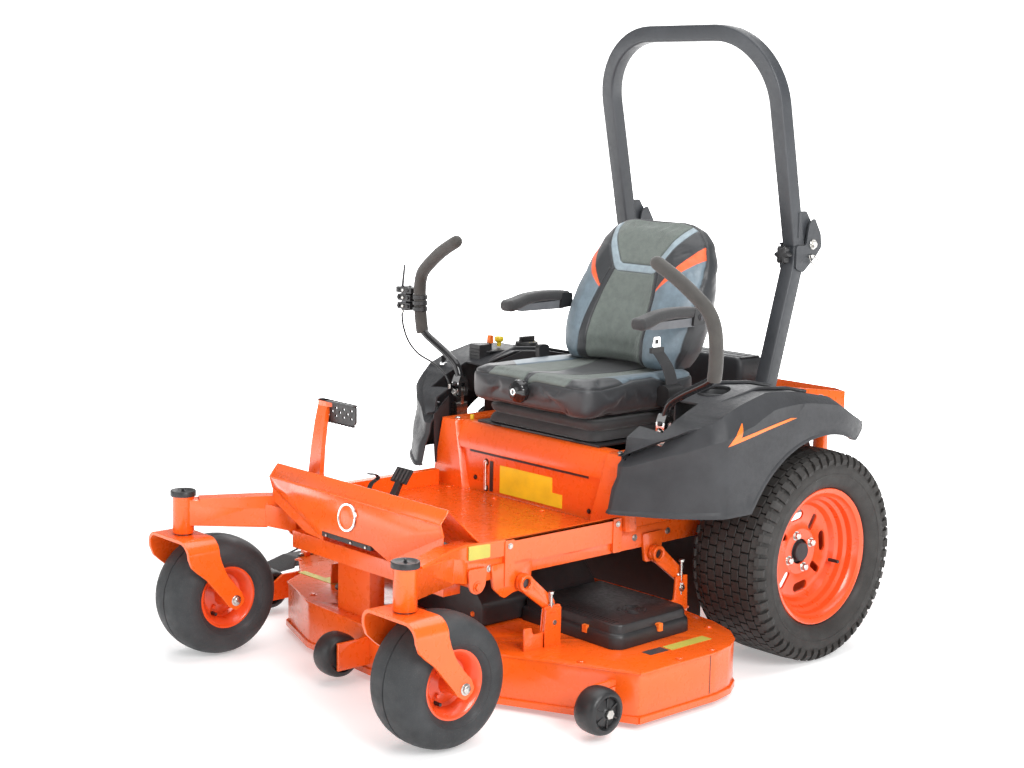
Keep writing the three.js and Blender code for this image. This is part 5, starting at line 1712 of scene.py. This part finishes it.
def deck_details():
    parts = [(flange(DECK_EDGE, 16.2, 34, 4.5), ORANGE), (flange(DECK_FRONT, 16.2, 34, 4.5), ORANGE)]
    parts.append((flange(DECK_FRONT, 141, 146.4, 2.0), ORANGE))
    parts.append((flange(DECK_EDGE, 141, 146.4, 2.0), ORANGE))
    for x, y in ((700, -640), (700, -520), (560, -375), (300, -300), (-300, -300), (-560, -375),
                 (-690, -820), (560, -850), (200, -1010), (-350, -1010)):
        parts += coated(bolt((x, y, DECK_TOP), "z", 8, 4), ORANGE)
    for s in SIGNS:
        x = s * 408
        for y, z0, z1 in ((-812, 232, 282), (-322, 228, 288)):
            parts.append((rod("z", (x, y, 0), 4, z0 - 34, z1, 16), ZINC))
            parts.append((rod("z", (x, y, 0), 8, z1 - 2, z1 + 5, 6), ZINC))
            parts.append((rod("z", (x, y, 0), 7.5, z0 - 6, z0 + 2, 6), ZINC))
            parts.append((box(x - 11, x + 11, y - 9, y + 9, z0 + 2, z0 + 6), ORANGE))
        hang = [(-905, 143), (-905, 203), (-884, 203), (-878, 185), (-842, 185), (-836, 246),
                (-784, 246), (-784, 143)]
        for side in (-1, 1):
            at = x + side * 7
            parts.append((slab("yz", hang[4:] + [(-842, 143)], at - 1.8, at + 1.8, 4), ORANGE))
        parts.append((box(x - 10, x + 10, -842, -838, 146, 186), ORANGE))
        parts += coated(bolt((x + s * 4, -806, 206), "x", 8, s * 6), ZINC)
        parts += coated(bolt((x + s * 4, -322, 214), "x", 8, s * 6), ZINC)
    for s in SIGNS:
        arm = [(-952, 60), (-940, 48), (-880, 48), (-862, 104), (-800, 112), (-800, 122), (-900, 122),
               (-948, 92)]
        parts.append((on_side(slab("yz", arm, 652, 661, 6), s), ORANGE))
        parts += coated(bolt((661, -886, 104), "x", 8, 5), ORANGE, s)
    for y, z in ((-1094, 104), (-1110, 96), (-1126, 88)):
        parts.append((rod("x", (-14, y, z), 5, -0.6, 0.6, 16), BLACK))
    mid = [(-1176, 62), (-1160, 48), (-1080, 48), (-1060, 60), (-1060, 122), (-1090, 122), (-1150, 108),
           (-1176, 90)]
    parts.append((slab("yz", mid, -14.4, -4.6, 8), ORANGE))
    parts += coated(bolt((-14, -1100, 84), "x", 7, -5), ZINC)
    piece("deck_details", "deck", parts, bevel=1.0)
    plates = [(box(602, 636, -600, -448, DECK_TOP, 147.2), CREAM),
              (box(600, 632, -674, -606, DECK_TOP, 147.0), SLATE_PLATE)]
    plates.append((box(715.4, 716.5, -543.5, -540.5, 40, 143), BLACK))
    plates.append((box(-570, -400, -905, -880, DECK_TOP, 147.2), CREAM))
    plates.append((box(-470, -400, -880, -858, DECK_TOP, 147.2), CREAM))
    piece("deck_plates", "deck", plates, bevel=0.3)


LID_TOP = 208.4
COVER_PLAN = ((190, -716), (536, -722), (558, -700), (548, -442), (520, -420), (190, -420))


def belt_cover(half, s):
    """Moulded pulley cover: stepped lid, ridges along the front, round vent and catches."""
    plan = rounded(COVER_PLAN, 12, 5)
    levels = ((146.6, 1.0), (150, 1.003), (174, 0.998), (180, 0.99), (183.5, 0.975), (184.5, 0.962),
              (185.5, 0.954), (202, 0.947), (206.5, 0.938), (LID_TOP, 0.92), (LID_TOP, 0.3))
    parts = [(on_side(stacked(plan, levels, 380, -565), s), BLACK)]
    for shift in (0, 10, 20):
        ridge = [Vector((214, -696 + shift, 208)), Vector((524, -702 + shift, 208))]
        parts.append((on_side(sweep(ridge, square_section(2.0, 1.6, 0.8, 2), side=(0, 0, 1)), s),
                      BLACK))
    for r in (16, 27, 38):
        for k in range(4):
            t0 = k * math.pi / 2 + 0.28
            arc = []
            for i in range(9):
                t = t0 + i * 0.125
                arc.append(Vector((s * (462 + r * math.cos(t)), -570 + r * math.sin(t), LID_TOP)))
            parts.append((sweep(arc, square_section(1.8, 1.5, 0.7, 2), side=(0, 0, 1)), BLACK))
    for x, y, turn in ((440, -718, 0.0), (553, -560, 1.57), (300, -718, 0.0)):
        catch = moved(turned(box(-8, 8, -5, 10, -10, 10), turn, "z"), x, y, 180)
        parts.append((on_side(catch, s), ORANGE_PLASTIC))
    piece("pulley_cover_" + half, "deck", parts, ["belt_cover_" + half],
          angle=34)


def centre_cover():
    """Black humped shield over the middle spindle and the belt run."""
    hump = [(-190, 148), (-190, 206), (-126, 280), (-108, 291), (108, 291), (126, 280), (190, 206),
            (190, 148)]
    outline = rounded(hump, 10, 4)
    rings = []
    for y, k in ((-852, 0.90), (-848, 0.97), (-838, 1.0), (-440, 1.0), (-432, 0.98), (-430, 0.94)):
        rings.append([(x * k, y, 148 + (z - 148) * k) for x, z in outline])
    parts = [(loft(rings), BLACK)]
    for y in (-760, -660, -560):
        parts.append((box(-104, 104, y - 4, y + 4, 290, 294), BLACK))
    for x in (-150, 150):
        parts += coated(bolt((x, -850, 176), "y", 8, -5), ORANGE_PLASTIC)
    pipe = [(-330, -930, 160), (-300, -960, 170), (-255, -965, 176), (-215, -950, 172)]
    parts.append((tube(pipe, 9, 14, 6), BLACK))
    piece("belt_shield", "deck", parts, angle=34)


def roller(name, x, y, s, pin_end=43):
    """Moulded anti-scalp wheel with its recessed hub and bolt."""
    half = [(12, 34), (16, 30), (30, 28), (37, 24), (39, 30), (42, 34), (48, 33.5), (54, 29),
            (57.6, 20), (58.8, 9), (59, 0)]
    profile = half + [(r, -a) for r, a in reversed(half[:-1])] + [(12, 34)]
    parts = [(moved(lathe("x", (0, 0, 0), profile, 56), x, y, 75), BLACK)]
    for k in range(6):
        rib = turned(box(26, 31, -2, 2, 14, 37), k * math.pi / 3, "x")
        parts.append((moved(rib if s > 0 else mirrored(rib), x, y, 75), BLACK))
    for r, reach, sides in ((14, 31, 28), (12.5, pin_end, 6)):
        pin = on_side(rod("x", (0, 0, 0), r, 20, reach, sides), s)
        parts.append((moved(pin, x, y, 75), ZINC))
    piece("scalp_wheel_" + name, "roller_" + name, parts, ["roller_" + name], angle=38)


# ---- controls ----------------------------------------------------------------------
DIAL = (-480, -95, 0)


def console():
    parts = [(box(-488, -440, -326, -283, 742, 789), BLACK)]
    for z in (752, 762, 772):
        parts.append((box(-487, -441, -328, -325.5, z, z + 4), BLACK))
    parts.append((slab("xy", ((-520, -300), (-432, -300), (-432, -190), (-520, -190)), 764, 769, 12),
                  FENDER_DARK))
    parts.append((lathe("z", DIAL, [(0, 758), (42, 758), (42, 764), (38, 767.6), (0, 767.6)], 48),
                  FENDER_DARK))
    piece("console_block", "root", parts, bevel=2.0)
    handle = [(slab("yz", ((-268, 766), (-256, 766), (-257, 792), (-267, 792)), -466.5, -461.5, 2),
               BLACK)]
    handle.append((slab("yz", ((-271, 788), (-253, 788), (-255, 813), (-269, 813)), -471, -457, 4),
                   ORANGE_PLASTIC))
    piece("throttle_handle", "throttle_lever", handle, ["throttle_lever"], bevel=1.6)
    knob = [(0, 806), (9, 806), (13, 804), (14.6, 799), (14.4, 794), (12, 790), (7, 787), (6, 775),
            (0, 775)]
    piece("pto_pull", "pto_knob", [(lathe("z", (-470, -221, 0), knob, 40), YELLOW)],
          ["pto_knob"])
    key = [(rod("z", (-540, -385, 0), 11, 722, 730, 32), CHROME),
           (slab("yz", ((-388, 728), (-382, 728), (-376, 738), (-376, 748), (-380, 752), (-390, 752),
                        (-394, 748), (-394, 738)), -542, -538, 2), BLACK)]
    piece("key", "ignition_key", key, ["ignition_key"], bevel=0.5)
    dial = [(36, 768), (36, 776), (34, 779), (30, 780), (0, 780)]
    skirt = lathe("z", DIAL, [(0, 768)] + dial, 60)
    parts = [(skirt, BLACK)]
    parts.append((slab("xy", ((-487, -124), (-473, -124), (-471, -66), (-489, -66)), 778, 795.6, 5),
                  BLACK))
    for k in range(10):
        t = math.radians(-120 + k * 26)
        spot = (DIAL[0] + 31 * math.sin(t), DIAL[1] + 31 * math.cos(t), 0)
        parts.append((rod("z", spot, 1.4, 779.5, 780.6, 10), YELLOW))
    piece("height_knob", "height_dial", parts, ["height_dial"], bevel=0.8)


# ---- engine and drive --------------------------------------------------------------
FAN = (0, 280, 0)
MUFFLER = (0, 448, 470)


def engine():
    parts = [(slab("xy", ((-118, 172), (118, 172), (118, 398), (-118, 398)), 379, 558, 16), CASTING)]
    for s in SIGNS:
        for k in range(11):
            z = 434 + k * 10.5
            fin = [(s * (60 + a - 44), 300 + b) for a, b in ((0, 0), (88, -52), (178, 78), (90, 130))]
            parts.append((slab("xy", fin, z, z + 4.5, 6), ALLOY))
        core = [(s * (60 + a - 44), 300 + b) for a, b in ((12, 4), (84, -38), (164, 74), (92, 118))]
        parts.append((slab("xy", core, 432, 545, 10), CASTING))
        head = [(s * 196, 372), (s * 158, 452), (s * 120, 430), (s * 160, 352)]
        parts.append((slab("xy", head, 440, 536, 8), ALLOY))
    blower = [(0, 690), (100, 690), (104, 694), (140, 694), (160, 688), (170, 676), (172, 650),
              (172, 572), (166, 560), (150, 556), (0, 556)]
    parts.append((lathe("z", FAN, blower, 64), BLACK))
    parts.append((lathe("z", FAN, [(0, 704), (60, 704), (104, 702), (112, 698), (114, 692), (0, 692)],
                        56), DARK_STEEL))
    for r in range(16, 104, 11):
        parts.append((lathe("z", FAN, [(r, 704), (r + 4, 706.4), (r + 8, 704), (r, 704)], 48), BLACK))
    for k in range(12):
        bar = turned(box(8, 108, -2, 2, 703, 706.8), k * math.pi / 6, "z")
        parts.append((moved(bar, *FAN), BLACK))
    piece("engine_block", "root", parts, ["engine"], angle=34)
    plan = rounded(((-138, 102), (232, 102), (232, 213), (-138, 213)), 20, 6)
    levels = ((691, 0.97), (700, 1.0), (768, 0.99), (784, 0.96), (790, 0.92), (792, 0.86))
    lid = [(stacked(plan, levels, 47, 157), FENDER)]
    for x in range(-100, 220, 26):
        lid.append((box(x, x + 10, 116, 198, 790, 793.5 if x % 52 else 792.5), FENDER))
    for x in (-60, 150):
        lid.append((box(x - 10, x + 10, 96, 102, 722, 760), ZINC))
    lid.append((slab("xz", ((-80, 560), (80, 560), (76, 700), (-76, 700)), 142, 218, 8), BLACK))
    piece("air_cleaner", "root", lid, bevel=1.5)
    can = [(0, -200), (40, -200), (47, -194), (48, -180), (48, 180), (47, 194), (40, 200), (0, 200)]
    pipes = [(lathe("x", MUFFLER, can, 48), DARK_STEEL)]
    for s in (-1, 1):
        pipes.append((tube([(s * 150, 448, 460), (s * 170, 420, 440), (s * 175, 400, 450),
                            (s * 165, 390, 476)], 13, 20, 6), DARK_STEEL))
    pipes.append((tube([(190, 448, 470), (222, 448, 466), (236, 462, 446), (238, 478, 420)], 14, 20, 6),
                  DARK_STEEL))
    for x in (-150, 0, 150):
        pipes.append((lathe("x", MUFFLER, [(48, x - 6), (50.5, x - 4), (50.5, x + 4), (48, x + 6)], 40),
                      DARK_STEEL))
    piece("muffler", "root", pipes)


def transaxle_details(half, s):
    """Cooling fan, pulley, relief bolts and ribs on the hydrostatic unit."""
    parts = []
    for k in range(8):
        vane = moved(turned(slab("yz", ((-2, 0), (2, 0), (6, 14), (2, 14)), 16, 62), k * math.pi / 4,
                            "z"), 0, 0, 346)
        parts.append((on_side(moved(vane, 215, 0, 0), s), BLACK))
    parts.append((on_side(lathe("z", (215, 0, 0), [(0, 345), (18, 345), (18, 362), (0, 362)], 32), s),
                  DARK_STEEL))
    for y in (-72, -24, 24, 72):
        parts.append((on_side(box(228, 404, y - 3, y + 3, 211, 218), s), CASTING))
    for y, z in ((-70, 250), (70, 250), (-70, 318), (70, 318)):
        parts += coated(bolt((402, y, z), "x", 7, 5), ZINC, s)
    piece("transaxle_details_" + half, "root", parts, bevel=0.8)


def chute_details():
    parts = [(rod("y", (-723, 0, 150), 5, -792, -498, 20), ZINC)]
    coil = [(-723 + 9 * math.cos(t * 0.9), -690 + 2.6 * t, 150 + 9 * math.sin(t * 0.9))
            for t in range(0, 30)]
    parts.append((tube(coil, 1.8, 10, 2, side=(0, 1, 0)), ZINC))
    for y in (-770, -520):
        parts.append((slab("xz", ((-735, 140), (-711, 140), (-706, 160), (-735, 162)), y - 8, y + 8, 3),
                      ORANGE))
    piece("chute_hinge", "deck", parts, bevel=0.5)
    ribs = []
    for y in (-740, -645, -550):
        ribs.append((slab("xz", ((-806, 143), (-920, 84), (-922, 88), (-806, 147)), y - 5, y + 5),
                     SOFT))
    piece("chute_ribs", "discharge_chute", ribs, bevel=0.8)


def fender_details(half, s):
    """Raised tray rails and screws on top of the fender."""
    parts = []
    rails = (((404, -330, 0), (420, -200, 0), (416, -60, 0), (404, 30, 0)),
             ((520, -350, 0), (545, -220, 0), (548, -80, 0), (536, 20, 0)))
    for line in rails:
        path = smooth_path(line, 8)
        lifted = [Vector((s * p.x, p.y, reading(FENDER_TOP, p.y) + 1.5)) for p in path]
        if s > 0 or line[0][0] < 500:
            parts.append((sweep(lifted, square_section(5, 5, 4, 3), side=(1, 0, 0)), FENDER))
    for x, y in ((402, -520), (408, 120), (560, 60)):
        parts += coated(bolt((x, y, reading(FENDER_TOP, y) - (4 if y > 0 else 2)), "z", 6, 4),
                        DARK_STEEL, s)
    piece("fender_details_" + half, "root", parts)


FINISHES = (
    (("frame_rail_left", "frame_rail_right", "front_crossmember", "foot_platform", "engine_deck"),
     ORANGE, 1.8),
    (("deck_shell",), ORANGE, 1.6),
    (("lift_arm_front_left", "lift_arm_front_right", "lift_arm_rear_left", "lift_arm_rear_right"),
     ORANGE, 1.4),
    (("seat_platform", "seat_rail", "fuel_tank"), BLACK, 2.0),
    (("blade_left", "blade_centre", "blade_right"), BLADE, 0.6),
    (("transaxle_left", "transaxle_right"), CASTING, 3.0),
    (("discharge_chute",), SOFT, 1.5),
)


def build():
    for half, s in SIDES:
        fender(half, s)
        fender_details(half, s)
        lever(half, s)
        armrest(half, s)
        barrel_cap(half, s)
        rail_details(half, s)
        belt_cover(half, s)
        transaxle_details(half, s)
        for end, y in (("front", -900), ("rear", -415)):
            lift_arm_details(end, y, half, s)
    cable_clamp()
    roll_bar()
    shield()
    floor_marks()
    hook()
    brake_pedal()
    lift_pedal()
    seat_box()
    under_seat_shade_plate()
    deck_details()
    centre_cover()
    roller("left", 699, -925, 1)
    roller("right", -699, -925, -1)
    roller("centre", -52, -1150, -1, 49)
    console()
    engine()
    chute_details()
    seat_cushions()
    seat_shells()
    seat_belt()
    for names, material, soft_edge in FINISHES:
        for name in names:
            paint_node(name, material, soft_edge)


build()
